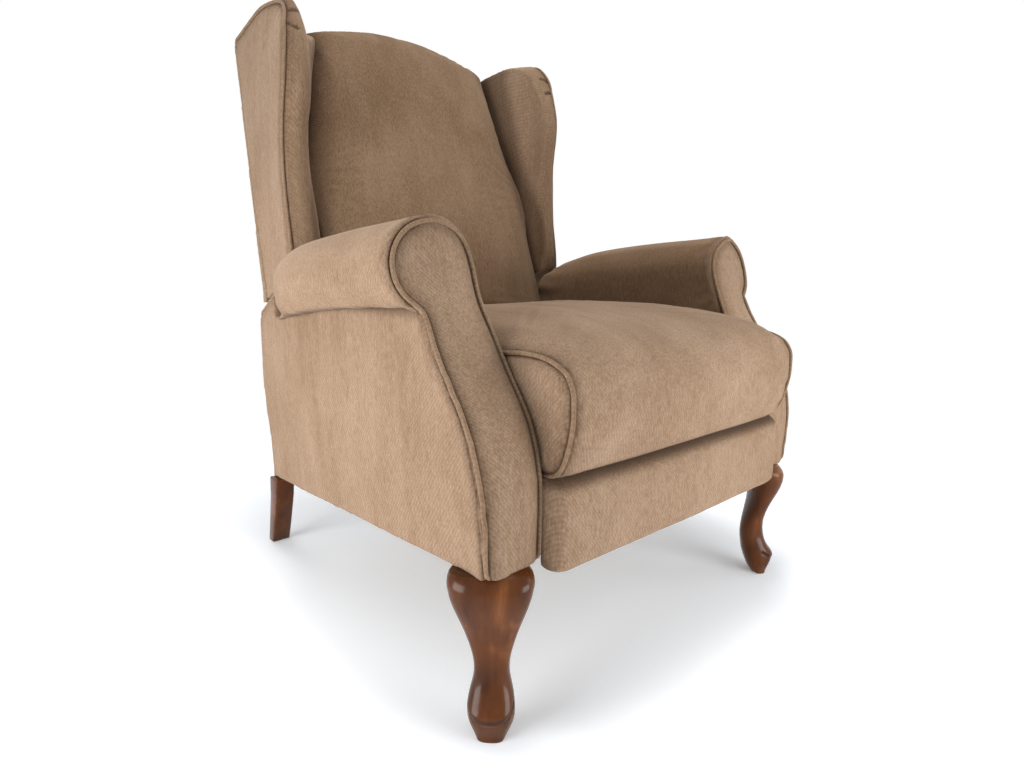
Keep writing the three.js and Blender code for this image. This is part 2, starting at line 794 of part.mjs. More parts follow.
// Parallel arms, carriers, control rod and bracket of the footrest
const joints = armPivots.map((at) => pivot(at, armLinkLength, -armRestAngle));
const crank = pivot(armPivots[0], armLinkLength + crankLength, -armRestAngle);
const footPivot = [footPivotDepth, joints[0][1]];

const turned = ([y, z], degrees) => {
  const [c, s] = [Math.cos(rad(degrees)), Math.sin(rad(degrees))];
  return [y * c + z * s, z * c - y * s];
};
const plus = (a, b) => [a[0] + b[0], a[1] + b[1]];
const minus = (a, b) => [a[0] - b[0], a[1] - b[1]];
const gap = (a, b) => Math.hypot(...minus(a, b));
const drive = armRestAngle - armOpenAngle;

// Height of the rod pin at which the rod is as long with the footrest out as with it in
const armAt = (share, length) => pivot(armPivots[0], length, -armRestAngle + drive * share);
const movedBy = (share) => minus(armAt(share, armLinkLength), joints[0]);
const crankAt = (share) => armAt(share, armLinkLength + crankLength);
const rodPinAt = (drop, share) =>
  plus(plus(footPivot, movedBy(share)), turned([rodPinDepth, -drop], footTurn * share));
const rodError = (drop) => gap(crankAt(1), rodPinAt(drop, 1)) - gap(crankAt(0), rodPinAt(drop, 0));
let [dropLow, dropHigh] = [rodPinDepth, crankLength + rodPinDepth];
for (let i = 0; i < bisections; i++) {
  const middle = (dropLow + dropHigh) / 2;
  if (rodError(dropLow) * rodError(middle) > 0) dropLow = middle;
  else dropHigh = middle;
}
const rodDrop = (dropLow + dropHigh) / 2;
const rodPin = rodPinAt(rodDrop, 0);
const rodAngle = (share) => {
  const [y, z] = minus(crankAt(share), rodPinAt(rodDrop, share));
  return Math.atan2(z, y);
};
const rodTurn = THREE.MathUtils.radToDeg(rodAngle(0) - rodAngle(1));

const frontArm = inLayer(bar(armPivots[0], crank, stripHalf, stripHalf - running), layerTwoX, [
  hole(armPivots[0]),
  hole(joints[0]),
])
  .add(pin(crank, pinRadius, layerThreeX - running, layerTwoX + strip / 2))
  .add(pin(crank, bossRadius - running, layerThreeX - running - headThickness, layerThreeX - running));
addPair("footrest_front_arm", frontArm, steel);
addPair(
  "footrest_rear_arm",
  inLayer(bar(armPivots[1], joints[1], stripHalf), layerTwoX, [hole(armPivots[1]), hole(joints[1])]),
  steel,
);

const carrier = inLayer(bar(joints[1], footPivot, stripHalf), layerOneX)
  .add(pin(joints[0], pinRadius, layerTwoX - running, layerOneX + strip / 2))
  .add(pin(joints[0], pinRadius + running, layerTwoX - running / 2 - headThickness, layerTwoX - running / 2))
  .add(pin(joints[1], pinRadius, layerTwoX - running, layerOneX + strip / 2))
  .add(pin(joints[1], bossRadius, layerTwoX - running / 2 - headThickness, layerTwoX - running / 2))
  .add(pin(footPivot, pinRadius, layerTwoX, layerOneX + strip / 2));
addPair("footrest_carrier", carrier, steel);

// The rod's far eye is open: its slot follows the small error of the drive
const slotSteps = 12;
const rodFrame = (share) => {
  return plus(crank, turned(minus(rodPinAt(rodDrop, share), crankAt(share)), -rodTurn * share));
};
const slotPath = Array.from({ length: slotSteps + 1 }, (_, i) => rodFrame(i / slotSteps));
const slotMiddle = slotPath.reduce((sum, at) => plus(sum, at), [0, 0]).map((v) => v / slotPath.length);
const slotReach = Math.max(...slotPath.map((at) => gap(at, slotMiddle)));
const eyeRadius = slotReach + pinRadius + rodEyePlay;
let rod = inLayer(bar(crank, slotMiddle, rodHalf, rodHalf), layerThreeX)
  .add(inLayer(circle(slotMiddle, eyeRadius, 28), layerThreeX))
  .add(inLayer(circle(crank, stripHalf - running), layerThreeX))
  .subtract(prism("x", hole(crank), layerThreeX - strip, layerThreeX + 2 * strip));
const cutRod = (outline) => prism("x", outline, layerThreeX - strip, layerThreeX + 2 * strip);
for (const at of slotPath) rod = rod.subtract(cutRod(circle(at, pinRadius + 2 * pinPlay)));
addPair("control_rod", rod, steel);

const tubeAt = pivot(armPivots[0], armLinkLength / 2, -armRestAngle);
add("footrest_torsion_tube", pin(tubeAt, tubeRadius, -layerTwoX + touch, layerTwoX - touch), steel);

const boardRear = footFront + footPadThickness + footBoardThickness;
const leafFront = boardRear + touch;
const webTop = footPivot[1] + stripHalf;
const web = inLayer(
  [
    [leafFront, webTop],
    [leafFront, rodPin[1] - stripHalf],
    ...bar(rodPin, rodPin, stripHalf - running).slice(0, 9),
    ...bar(footPivot, footPivot, stripHalf).slice(4, 10),
  ],
  layerTwoX,
  [hole(footPivot)],
);
const leaf = block(
  [layerTwoX + strip - bracketLeaf, layerTwoX + strip],
  [leafFront, leafFront + strip],
  [footBottom + bracketLeaf, footTop - bracketLeaf / 2],
);
const bracket = web
  .add(leaf)
  .add(pin(rodPin, pinRadius, layerThreeX - running, layerTwoX + strip / 2));
addPair("footrest_bracket", bracket, steel);

// Footrest panel
const boardHalf = footHalfWidth - footBoardInset;
const board = block(
  [-boardHalf, boardHalf],
  [footFront + footPadThickness, boardRear],
  [footBottom + footBoardInset, footTop - footBoardInset],
);
add("footrest_board", board, plainWood);
const footEdge = footPadThickness * footEdgeShare;
const footPadSkin = softBox(16, 4, 6, (u, v, w) => {
  const corner = Math.max(Math.abs(u), Math.abs(w)) ** footRoundness;
  const front = (1 - v) / 2;
  const draw = footEdge * front * front;
  const x = (footHalfWidth - draw * Math.abs(u) ** footRoundness) * u;
  const middle = (footTop + footBottom) / 2;
  const z = middle + ((footTop - footBottom) / 2 - draw * Math.abs(w) ** footRoundness) * w;
  const padRear = footFront + footPadThickness + footBoardInset;
  const y = lerp(footFront + footCrown * corner * front, padRear, (v + 1) / 2);
  return [x, y, z];
});
const footPad = footPadSkin.subtract(
  block(
    [-boardHalf - touch, boardHalf + touch],
    [footFront + footPadThickness - touch, boardRear + overrun],
    [footBottom + footBoardInset - touch, footTop - footBoardInset + touch],
  ),
);
add("footrest_pad", footPad, fabric);

// Seat

const frameHalf = seatPlateX - touch;
const outerBox = block([-frameHalf, frameHalf], [seatFrameFront, seatFrameRear], [frameLow, deckHeight]);
const innerBox = block(
  [-frameHalf + seatRailWidth, frameHalf - seatRailWidth],
  [seatFrameFront + seatRailWidth, seatFrameRear - seatRailWidth],
  [frameLow - overrun, deckHeight + overrun],
);
add("seat_frame", outerBox.subtract(innerBox), plainWood);

const springHeight = deckHeight - springWire - touch;
const springClear = seatRailWidth + touch + springWire;
const springEnds = [seatFrameFront + springClear, seatFrameRear - springClear];
for (let n = 0; n < springCount; n++) {
  const at = (frameHalf - seatRailWidth) * (((n + 0.5) / springCount) * 2 - 1);
  const steps = springTurns * 6;
  const places = Array.from({ length: steps + 1 }, (_, i) => {
    const t = i / steps;
    const swing = springSwing * Math.sin(2 * Math.PI * springTurns * t);
    return new THREE.Vector3(at + swing, lerp(springEnds[0], springEnds[1], t), springHeight);
  });
  const wire = new THREE.Shape(circle([0, 0], springWire, 5).map(([a, b]) => new THREE.Vector2(a, b)));
  const spring = new THREE.ExtrudeGeometry(wire, {
    steps,
    extrudePath: new THREE.CatmullRomCurve3(places),
    bevelEnabled: false,
  });
  add("seat_spring_" + (n + 1), solid(spring), steel);
}

const deckLow = deckHeight + touch;
const deckTop = deckLow + deckPadThickness;
add("seat_deck", block([-frameHalf, frameHalf], [seatFrameFront, seatFrameRear], [deckLow, deckTop]), lining);

// Side seam and middle section of the cushion: depth and height, then the same in the middle
const cushionShares = [
  [0.944, 0.3, 0.944, 0.3],
  [0.963, 0.533, 0.966, 0.544],
  [0.985, 0.765, 0.992, 0.83],
  [0.933, 0.808, 0.933, 0.929],
  [0.781, 0.824, 0.781, 0.984],
  [0.579, 0.824, 0.579, 1],
  [0.394, 0.813, 0.394, 1],
  [0.231, 0.786, 0.259, 0.989],
  [0.162, 0.808, 0.172, 0.956],
  [0.086, 0.797, 0.099, 0.874],
  [0.029, 0.72, 0.039, 0.753],
  [0.01, 0.61, 0.01, 0.621],
  [0.007, 0.484, 0, 0.484],
  [0.015, 0.28, 0.003, 0.269],
  [0.04, 0.066, 0.03, 0.055],
  [0.081, 0, 0.074, 0],
  [0.141, 0.049, 0.138, 0.038],
  [0.18, 0.159, 0.18, 0.148],
  [0.192, 0.3, 0.192, 0.3],
  [0.444, 0.3, 0.444, 0.3],
  [0.714, 0.3, 0.714, 0.3],
];
const crownShares = [
  [-1, -0.12],
  [-0.985, 0],
  [-0.93, 0.38],
  [-0.8, 0.73],
  [-0.55, 0.92],
  [-0.28, 0.98],
  [0, 1],
];
const cushionStations = [...crownShares, ...crownShares.slice(0, -1).reverse().map(([x, c]) => [-x, c])];
const seatDeep = backSeatDepth - rollFront;
const seatTall = seatCrownHeight - rollUnderside;
const cushionMiddle = [rollFront + seatDeep / 2, deckHeight + seatTall / 3];
const cushionRings = cushionStations.map(([across, crown]) =>
  cushionShares.map(([sideY, sideZ, midY, midZ]) => {
    const held = Math.max(crown, 0);
    let y = rollFront + seatDeep * lerp(sideY, midY, held);
    let z = rollUnderside + seatTall * lerp(sideZ, midZ, held);
    if (crown < 0) {
      y += Math.sign(cushionMiddle[0] - y) * seamTuck / 2;
      z += Math.sign(cushionMiddle[1] - z) * seamTuck / 2;
    }
    return new THREE.Vector3((seatWidth / 2) * across, y, z);
  }),
);
const cushionFloor = block([-wide, wide], [-wide, wide], [-wide, deckTop + touch]).intersect(
  block([-wide, wide], [seatFrameFront - running, wide], [-wide, wide]),
);
add("seat_cushion", loft(cushionRings, "y", "z").subtract(cushionFloor), fabric);

// Back

const lean = (body, rake, depth, height) => body.warp((p) => (p[1] += depth + rake * (p[2] - height)));
const leanInside = (body) => lean(body, insideRake, backSeatDepth, backSeatHeight);
const leanOutside = (body) => lean(body, outsideRake, outsideDepth, backSeatHeight);

// Half width of the inside back by height, then its arched top by distance from the middle
const backHalfShares = [
  [0, 0.985],
  [0.14, 1],
  [0.28, 1],
  [0.417, 0.99],
  [0.609, 0.963],
  [0.716, 0.885],
  [0.829, 0.84],
  [0.929, 0.785],
  [1, 0.76],
];
const backHalfAt = (z) =>
  backHalfWidth * follow(backHalfShares, (z - backPadBottom) / (archTop - backPadBottom));
const archAt = (x) => archTop - archRise * (x / (backHalfWidth * backHalfShares[7][1])) ** 2;

const frameFront = backPadDepth;
const frameTopAt = (x) => archAt(x) - backFrameDrop;
const frameSteps = 8;
const frameHalfAt = (z) => Math.min(backHalfAt(Math.max(z, backPadBottom)) - wingGap - touch, lowerFrameHalf);
const lowerFrameHalf = layerOneX - touch;
function archLine(end, raised) {
  return Array.from({ length: frameSteps - 1 }, (_, i) => {
    const x = lerp(end, -end, (i + 1) / frameSteps);
    return [x, frameTopAt(x) + raised];
  });
}
const frameShoulder = archEnd - backFrameDrop;
function backOutline(inset) {
  const low = backPadBottom + inset;
  const right = [];
  for (let i = 0; i <= frameSteps; i++) {
    const z = lerp(low, frameShoulder - inset, i / frameSteps);
    right.push([frameHalfAt(z) - inset, z]);
  }
  const end = right[right.length - 1][0];
  return [...right, ...archLine(end, -inset), ...right.map(([x, z]) => [-x, z]).reverse()];
}
const frameEnd = frameHalfAt(frameShoulder);
const middleBar = lerp(backPadBottom, archEnd, 0.5);
const frameRear = frameFront + backFrameThickness;
const backFrame = prism("y", backOutline(0), frameFront, frameRear)
  .subtract(prism("y", backOutline(backFramePost), frameFront - overrun, frameRear + overrun))
  .add(
    block(
      [-lowerFrameHalf + backFramePost / 2, lowerFrameHalf - backFramePost / 2],
      [frameFront, frameRear],
      [middleBar, middleBar + backFramePost],
    ),
  );
add("back_frame", leanInside(backFrame), plainWood);

// Cloth-covered board that closes the lower back behind its frame
const coverFront = frameRear + touch;
const coverTop = outsideHeight + lowerCoverLap;
const lowerCover = block(
  [-lowerFrameHalf, lowerFrameHalf],
  [coverFront, coverFront + lowerCoverThickness],
  [coverTop - lowerCoverHeight, coverTop],
);
add("back_lower_cover", leanInside(lowerCover), fabric);

// Strips that tie the back frame to its hinges
const backLine = (z) => insideAt(z) + frameFront + backFrameThickness / 2;
const bracketTop = [backLine(bracketHeight), bracketHeight];
const backBracket = inLayer(bar(hinge, bracketTop, stripHalf, stripHalf - running), layerOneX, [hole(hinge)]);
addPair("back_bracket", backBracket, steel);

const rearOfPad = (y, z) => outsideAt(z) - shellThickness - touch;
const backPadSkin = softBox(12, 3, 14, (u, v, w) => {
  const flatZ = lerp(backPadBottom, archTop, (w + 1) / 2);
  const half = backHalfAt(flatZ);
  const soft = 1 - Math.abs(u) ** 6 * backSideShare * ((1 - v) / 2) ** 2;
  const x = half * u * soft;
  const z = lerp(backPadBottom, archAt(x), (w + 1) / 2);
  const rise = smooth(z, seatCrownHeight, wingLow + wingThickness);
  const crown = backCrown * (1 - u ** 4) * (1 - w ** 8) * rise * ((1 - v) / 2);
  const side = backEdge * (Math.abs(u) ** 8 + Math.max(w, 0) ** 10 * 0.6) * ((1 - v) / 2);
  const front = insideAt(z) - crown + side;
  return [x, lerp(front, rearOfPad(x, z), (v + 1) / 2), z];
});
const behindFrame = leanInside(
  prism(
    "y",
    [
      [-wide, backPadBottom - overrun],
      [wide, backPadBottom - overrun],
      [wide, frameShoulder + touch],
      [frameEnd, frameShoulder + touch],
      ...archLine(frameEnd, touch),
      [-frameEnd, frameShoulder + touch],
      [-wide, frameShoulder + touch],
    ],
    frameFront - touch,
    frameFront + wide,
  ),
);
add("back_cushion", backPadSkin.subtract(behindFrame), fabric);

// Wings

const wingFrontShares = [
  [0, 0.03],
  [0.12, 0.06],
  [0.3, 0.2],
  [0.45, 0.24],
  [0.6, 0.16],
  [0.75, 0],
  [0.88, -0.04],
  [0.94, 0.03],
  [1, 0.32],
];
const wingFrontAt = (z) =>
  wingFrontNear + wingFrontSwell * follow(wingFrontShares, (z - wingLow) / (wingApex - wingLow));
const wingOuterShares = [
  [0, 1],
  [0.6, 1],
  [0.8, 0.985],
  [0.9, 0.96],
  [1, 0.9],
];
const wingOuterAt = (z, back) => {
  const front = wingFrontHalf * follow(wingOuterShares, (z - wingLow) / (wingApex - wingLow));
  const rear = lerp(wingTipHalfWidth, wingTopHalfWidth, (z - outsideHeight) / (wingCorner - outsideHeight));
  return lerp(front, rear, back);
};
// Its inner face runs back from the padded border to the inside back
const wingInnerAt = (y, z) => {
  const border = wingOuterAt(z, 0) - wingThickness;
  const joined = backHalfAt(z) + wingGap;
  return lerp(Math.max(border, joined), joined, smooth(y, wingFrontAt(z), insideAt(z)));
};
const wingBottomAt = (y) =>
  outsideHeight + (shoulderRise / shoulderRun) * wingSlope * (outsideAt(outsideHeight) - y);
const wingTopAt = (y) => {
  const front = Math.max(wingApexDepth - y, 0);
  const along = THREE.MathUtils.clamp((wingRearDepth - y) / (wingRearDepth - wingApexDepth), 0, 1);
  return lerp(wingCorner, wingApex, along ** wingTopPowerShare) - (front * front) / wingRound;
};
const wingSkin = (grow) =>
  softBox(5, 8, 12, (u, v, w) => {
    const t = (w + 1) / 2;
    const s = (v + 1) / 2;
    const guess = lerp(wingLow + shoulderGap, wingApex - shoulderGap, t);
    const y = lerp(wingFrontAt(guess), rearOfPad(0, guess) + shoulderGap, s ** 1.2);
    const drop = wingInnerDrop * ((1 - u) / 2) ** 2 * (1 - s) * t ** 4;
    const z = lerp(wingBottomAt(y), wingTopAt(y), t) - drop;
    const inner = wingInnerAt(y, z);
    const outer = wingOuterAt(z, s);
    const puff = wingPuff * Math.sin((Math.PI * (u + 1)) / 2) * (1 - s) ** 6 * Math.sin(Math.PI * t) ** 0.3;
    const soften = 1 - s;
    const x = lerp(inner - wingBulge * soften * (1 - (Math.abs(w) ** 6)), outer, (u + 1) / 2);
    return [x + grow * u, y - puff, z];
  });
const beforeShell = (y) => leanOutside(block([-wide, wide], [-wide, y], [-wide, 2 * wide + archTop]));
const wingShell = wingSkin(0).intersect(beforeShell(-shellThickness - touch));
const wingPlateX = wingFrontHalf - wingPlateInset - wingPlate;
const wingPlateOutline = (by) => [
  [wingFrontNear + wingPlateInset - by, wingLow + wingPlateInset + shoulderGap - by * 2],
  [
    outsideAt(wingLow) - shellThickness - touch - backFrameThickness,
    wingBottomAt(outsideAt(wingLow) - shellThickness) + wingPlateInset - by * 2,
  ],
  [outsideAt(wingLow) + by * 2, wingBottomAt(outsideAt(wingLow)) + wingPlateInset - by * 2],
  [outsideAt(wingCorner - wingPlateInset) + by * 2, wingCorner - wingPlateInset + by],
  [wingApexDepth + by, wingCorner - wingPlateInset + by],
  [wingFrontNear + wingPlateInset - by, wingCorner - wingPlateInset - wingPlateInset + by],
];
const wingPlateBody = (by) => prism("x", wingPlateOutline(by), wingPlateX - by, wingPlateX + wingPlate + by);
const wingFlange = (by) =>
  leanOutside(
    block(
      [lowerFrameHalf + touch - by, wingPlateX + wingPlate / 2],
      [-shellThickness - touch - backFrameThickness - by, -shellThickness - touch + by * 3],
      [wingLow + wingPlateInset - by, wingCorner - 3 * wingPlateInset + by],
    ),
  );
const wingFrame = wingPlateBody(0).intersect(beforeShell(-shellThickness - touch)).add(wingFlange(0));
addPair("wing_frame", wingFrame, plainWood);
addPair("wing_pad", wingShell.subtract(wingPlateBody(touch)).subtract(wingFlange(touch)), fabric);

// Outside back: a padded panel over the whole rear
const outsidePanel = softBox(10, 1, 10, (u, v, w) => {
  const t = (w + 1) / 2;
  const high = lerp(wingCorner, archTop - archDip, 1 - Math.min(Math.abs(u) / 0.75, 1) ** 2);
  const z = lerp(outsideHeight, high, t);
  const half = lerp(wingTipHalfWidth, wingTopHalfWidth, (z - outsideHeight) / (wingCorner - outsideHeight));
  const crown = v > 0 ? outsideCrown * (1 - u * u) * (1 - w * w) : 0;
  return [half * u, v > 0 ? crown : -shellThickness, z];
});
add("outside_back", leanOutside(outsidePanel), fabric);

export default chair;
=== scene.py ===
import json
import math

import bmesh
import bpy
import numpy as np
from mathutils import Matrix, Vector, noise
from mathutils.kdtree import KDTree


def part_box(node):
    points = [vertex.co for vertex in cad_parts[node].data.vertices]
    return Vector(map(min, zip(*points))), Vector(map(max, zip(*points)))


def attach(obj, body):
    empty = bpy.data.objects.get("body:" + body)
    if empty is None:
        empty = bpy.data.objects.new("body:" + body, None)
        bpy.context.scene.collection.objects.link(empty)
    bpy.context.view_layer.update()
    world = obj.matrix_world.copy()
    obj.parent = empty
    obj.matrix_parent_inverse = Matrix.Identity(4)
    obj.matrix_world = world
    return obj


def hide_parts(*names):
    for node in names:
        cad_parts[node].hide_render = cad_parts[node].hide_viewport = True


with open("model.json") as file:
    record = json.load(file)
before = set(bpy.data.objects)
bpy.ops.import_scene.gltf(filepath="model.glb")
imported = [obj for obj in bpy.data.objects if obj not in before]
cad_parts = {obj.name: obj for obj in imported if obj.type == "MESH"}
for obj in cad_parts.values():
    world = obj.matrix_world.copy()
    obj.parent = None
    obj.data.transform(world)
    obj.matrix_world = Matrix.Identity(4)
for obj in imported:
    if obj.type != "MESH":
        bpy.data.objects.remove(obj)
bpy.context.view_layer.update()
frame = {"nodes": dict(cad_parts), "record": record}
nodes = frame["nodes"]
sides = ("left", "right")
print("frame loaded:", len(nodes), "pieces")

camera = {
    "place": (-0.7748, -0.9144, 0.5793),
    "azimuth": -41.22,
    "elevation": 10.41,
    "roll": 0.25,
    "lens": 21.73,
    "sensor": 36,
    "near": 0.05,
}


def addCamera():
    data = bpy.data.cameras.new("camera")
    data.lens = camera["lens"]
    data.sensor_width = camera["sensor"]
    data.clip_start = camera["near"]
    view = bpy.data.objects.new("camera", data)
    bpy.context.scene.collection.objects.link(view)
    turn = Matrix.Rotation(math.radians(camera["azimuth"]), 4, "Z")
    tilt = Matrix.Rotation(math.radians(90 - camera["elevation"]), 4, "X")
    roll = Matrix.Rotation(math.radians(camera["roll"]), 4, "Z")
    view.matrix_world = Matrix.Translation(camera["place"]) @ turn @ tilt @ roll
    bpy.context.scene.camera = view


lampAim = (0, 0, 0.45)
lamps = {
    "left": {"place": (-1.6, -0.1, 0.35), "size": 0.9, "power": 28},
    "front": {"place": (0.35, -1.6, 0.25), "size": 0.9, "power": 25},
    "top": {"place": (-0.1, -0.1, 3.2), "size": 0.9, "power": 56},
    "right": {"place": (2.3, -1.9, 1.3), "size": 1.4, "power": 10},
    "rear": {"place": (-0.6, 2.4, 1.8), "size": 1.4, "power": 12},
}


def addLamps():
    for name, lamp in lamps.items():
        data = bpy.data.lights.new(name, "AREA")
        data.size = lamp["size"]
        data.energy = lamp["power"]
        obj = bpy.data.objects.new(name, data)
        bpy.context.scene.collection.objects.link(obj)
        obj.location = lamp["place"]
        aim = Vector(lampAim) - Vector(lamp["place"])
        obj.rotation_euler = aim.to_track_quat("-Z", "Y").to_euler()


class Socket:
    def __init__(self, tree, link):
        self.tree = tree
        self.link = link

    def maths(self, operation, other=None):
        node = self.tree.nodes.new("ShaderNodeMath")
        node.operation = operation
        for socket, value in zip(node.inputs, (self, other)):
            if isinstance(value, Socket):
                self.tree.links.new(value.link, socket)
            elif value is not None:
                socket.default_value = value
        return Socket(self.tree, node.outputs[0])

    def __add__(self, other):
        return self.maths("ADD", other)

    def __sub__(self, other):
        return self.maths("SUBTRACT", other)

    def __mul__(self, other):
        return self.maths("MULTIPLY", other)

    def __truediv__(self, other):
        return self.maths("DIVIDE", other)

    def __pow__(self, other):
        return self.maths("POWER", other)

    def sine(self):
        return self.maths("SINE")

    def ramp(self, low, high):
        return ((self - low) / (high - low)).maths("MINIMUM", 1.0).maths("MAXIMUM", 0.0)


class Paint:
    def __init__(self, name):
        self.material = bpy.data.materials.new(name)
        self.material.use_nodes = True
        self.tree = self.material.node_tree
        self.tree.nodes.clear()
        out = self.tree.nodes.new("ShaderNodeOutputMaterial")
        self.shader = self.tree.nodes.new("ShaderNodeBsdfPrincipled")
        self.tree.links.new(self.shader.outputs[0], out.inputs["Surface"])

    # any node: its type, its settings, which output is used, then its inputs
    def node(self, kind, settings=None, output=0, **values):
        node = self.tree.nodes.new(kind)
        for key, value in (settings or {}).items():
            setattr(node, key, value)
        for key, value in values.items():
            self.plug(node.inputs[key.replace("_", " ")], value)
        return Socket(self.tree, node.outputs[output])

    def plug(self, socket, value):
        if isinstance(value, Socket):
            self.tree.links.new(value.link, socket)
        elif socket.type == "RGBA":
            socket.default_value = (*value, 1.0)
        else:
            socket.default_value = value

    def place(self, scale=(1, 1, 1)):
        coords = self.node("ShaderNodeTexCoord", output=3)
        return self.node("ShaderNodeMapping", Vector=coords, Scale=scale)

    def noise(self, vector, scale=1.0, detail=3.0, roughness=0.5, distortion=0.0):
        shape = {"Scale": scale, "Detail": detail, "Roughness": roughness, "Distortion": distortion}
        return self.node("ShaderNodeTexNoise", Vector=vector, **shape)

    def attribute(self, name):
        return self.node("ShaderNodeAttribute", {"attribute_name": name}, output=2)

    def axes(self, vector):
        return [self.node("ShaderNodeSeparateXYZ", output=i, Vector=vector) for i in range(3)]

    def mix(self, share, first, second, blend="MIX"):
        node = self.tree.nodes.new("ShaderNodeMix")
        node.data_type = "RGBA"
        node.blend_type = blend
        for index, value in ((0, share), (6, first), (7, second)):
            self.plug(node.inputs[index], value)
        return Socket(self.tree, node.outputs[2])

    def feed(self, **values):
        for key, value in values.items():
            self.plug(self.shader.inputs[key.replace("_", " ")], value)

    def bump(self, height, distance, strength=1.0, **under):
        return self.node("ShaderNodeBump", Height=height, Distance=distance, Strength=strength, **under)


velvet = {
    "shade": (0.137, 0.081, 0.046),
    "middle": (0.235, 0.155, 0.1),
    "raised": (0.325, 0.232, 0.165),
    "lowTones": (0.2, 0.6),  # from shade to middle
    "highTones": (0.56, 0.92),  # from middle to raised
    # the colour of the painted shade in seams and crevices
    "seam": (0.035, 0.016, 0.008),
    "seamShare": 0.88,
    "away": (0.64, 0.585, 0.51),  # what is left of the colour where painted shade lies, as much as the away layer says
    "sheen": 0.15,
    "sheenTint": (1.0, 0.82, 0.66),
    "sheenSpread": 0.42,
    "specular": 0.03,
    "rough": 0.84,
    "roughSpread": 0.1,
    "clouds": 6.5,
    "threads": (430, 430, 80),
    "grain": 380.0,
    "pile": 1100,
    "twill": 1250,
    "twillLean": (0.8, 0.7),
    "twillDrift": 9,
    "tones": {"twill": 0.058, "marks": 0.36, "clouds": 0.36, "threads": 0.5, "grain": 0.42, "pile": 0.34},
    "level": 0.59,
    "streaks": (95, 95, 7),
    "streakTones": (0.45, 0.62),
    "streakShade": 0.13,
    "softBump": (0.0025, 0.25),
    "wovenBump": (0.0005, 0.55),
}


# nap stretches the brushed marks along the way that the pile lies
def makeVelvet(name, nap, streaks=None):
    paint = Paint(name)
    coords = paint.place()
    x, y, z = paint.axes(coords)
    marks = paint.noise(paint.place(nap), detail=4.0, roughness=0.6, distortion=0.4)
    clouds = paint.noise(coords, velvet["clouds"], detail=2.0, distortion=0.3)
    threads = paint.noise(paint.place(velvet["threads"]), detail=1.0)
    grain = paint.noise(coords, velvet["grain"], detail=1.0)
    pile = paint.noise(coords, velvet["pile"], detail=2.0, roughness=0.6)
    leanY, leanZ = velvet["twillLean"]
    ridges = (x + y * leanY + z * leanZ) * velvet["twill"] + clouds * velvet["twillDrift"]
    twill = ridges.sine()
    tones = velvet["tones"]
    tone = twill * tones["twill"] + velvet["level"]
    layers = {"marks": marks, "clouds": clouds, "threads": threads, "grain": grain, "pile": pile}
    for key, layer in layers.items():
        tone = tone + (layer - 0.5) * tones[key]
    if streaks:
        # darker nap streaks hanging from the seam, with painted shade that deepens towards the top, under
        # the roll
        brushed = paint.noise(paint.place(velvet["streaks"]), roughness=0.65)
        tone = tone - z.ramp(*streaks) * brushed.ramp(*velvet["streakTones"]) * velvet["streakShade"]
    low = paint.mix(tone.ramp(*velvet["lowTones"]), velvet["shade"], velvet["middle"])
    colour = paint.mix(tone.ramp(*velvet["highTones"]), low, velvet["raised"])
    # painted shade, as much as each piece's away layer asks for
    colour = paint.mix(paint.attribute("away"), colour, velvet["away"], "MULTIPLY")
    # painted shade in seams, creases, under parts and where pads meet
    colour = paint.mix(paint.attribute("seam") * velvet["seamShare"], colour, velvet["seam"])
    soft = paint.bump(marks * 0.5 + clouds * 0.5, *velvet["softBump"])
    woven = paint.bump(pile * 0.5 + threads * 0.3 + twill * 0.2, *velvet["wovenBump"], Normal=soft)
    paint.feed(
        Base_Color=colour,
        Roughness=marks * velvet["roughSpread"] + velvet["rough"],
        Normal=woven,
        Sheen_Weight=velvet["sheen"],
        Sheen_Roughness=velvet["sheenSpread"],
        Sheen_Tint=velvet["sheenTint"],
        Specular_IOR_Level=velvet["specular"],
    )
    return paint.material


cherry = {
    "dark": (0.024, 0.0068, 0.002),
    "warm": (0.1, 0.031, 0.0078),
    "bright": (0.19, 0.07, 0.02),
    "grainTones": (0.25, 0.78),
    "cloudTones": (0.25, 0.75),
    "grainShare": 0.4,
    "lowTones": (0.05, 0.7),
    "highTones": (0.6, 1.05),
    "seamShare": 0.8,
    "grain": (60, 60, 5),
    "pores": (800, 800, 45),
    "clouds": 10.0,
    "gloss": 0.22,
    "glossSpread": 0.08,
    "specular": 0.1,
    "lacquer": 0.11,
    "lacquerGloss": 0.11,
    "bump": (0.0003, 0.25),
}


def makeCherry():
    paint = Paint("darkCherry")
    grain = paint.noise(paint.place(cherry["grain"]), detail=5.0, roughness=0.55, distortion=0.5)
    pores = paint.noise(paint.place(cherry["pores"]), detail=2.0)
    clouds = paint.noise(paint.place(), cherry["clouds"], distortion=0.5)
    share = cherry["grainShare"]
    tone = grain.ramp(*cherry["grainTones"]) * share + clouds.ramp(*cherry["cloudTones"]) * (1 - share)
    base = paint.mix(tone.ramp(*cherry["lowTones"]), cherry["dark"], cherry["warm"])
    colour = paint.mix(tone.ramp(*cherry["highTones"]), base, cherry["bright"])
    # painted shade in the carved groove of the foot
    colour = paint.mix(paint.attribute("seam") * cherry["seamShare"], colour, cherry["dark"])
    paint.feed(
        Base_Color=colour,
        Roughness=grain * cherry["glossSpread"] + cherry["gloss"],
        Normal=paint.bump(grain * 0.4 + pores * 0.3, *cherry["bump"]),
        Specular_IOR_Level=cherry["specular"],
        Coat_Weight=cherry["lacquer"],
        Coat_Roughness=cherry["lacquerGloss"],
    )
    return paint.material


timber = {
    "dark": (0.42, 0.27, 0.14),
    "pale": (0.68, 0.5, 0.31),
    "grain": (9, 70, 70),
    "grainTones": (0.25, 0.75),
    "specks": 240.0,
    "rough": 0.6,
    "roughSpread": 0.15,
    "bump": (0.0005, 0.5),
}


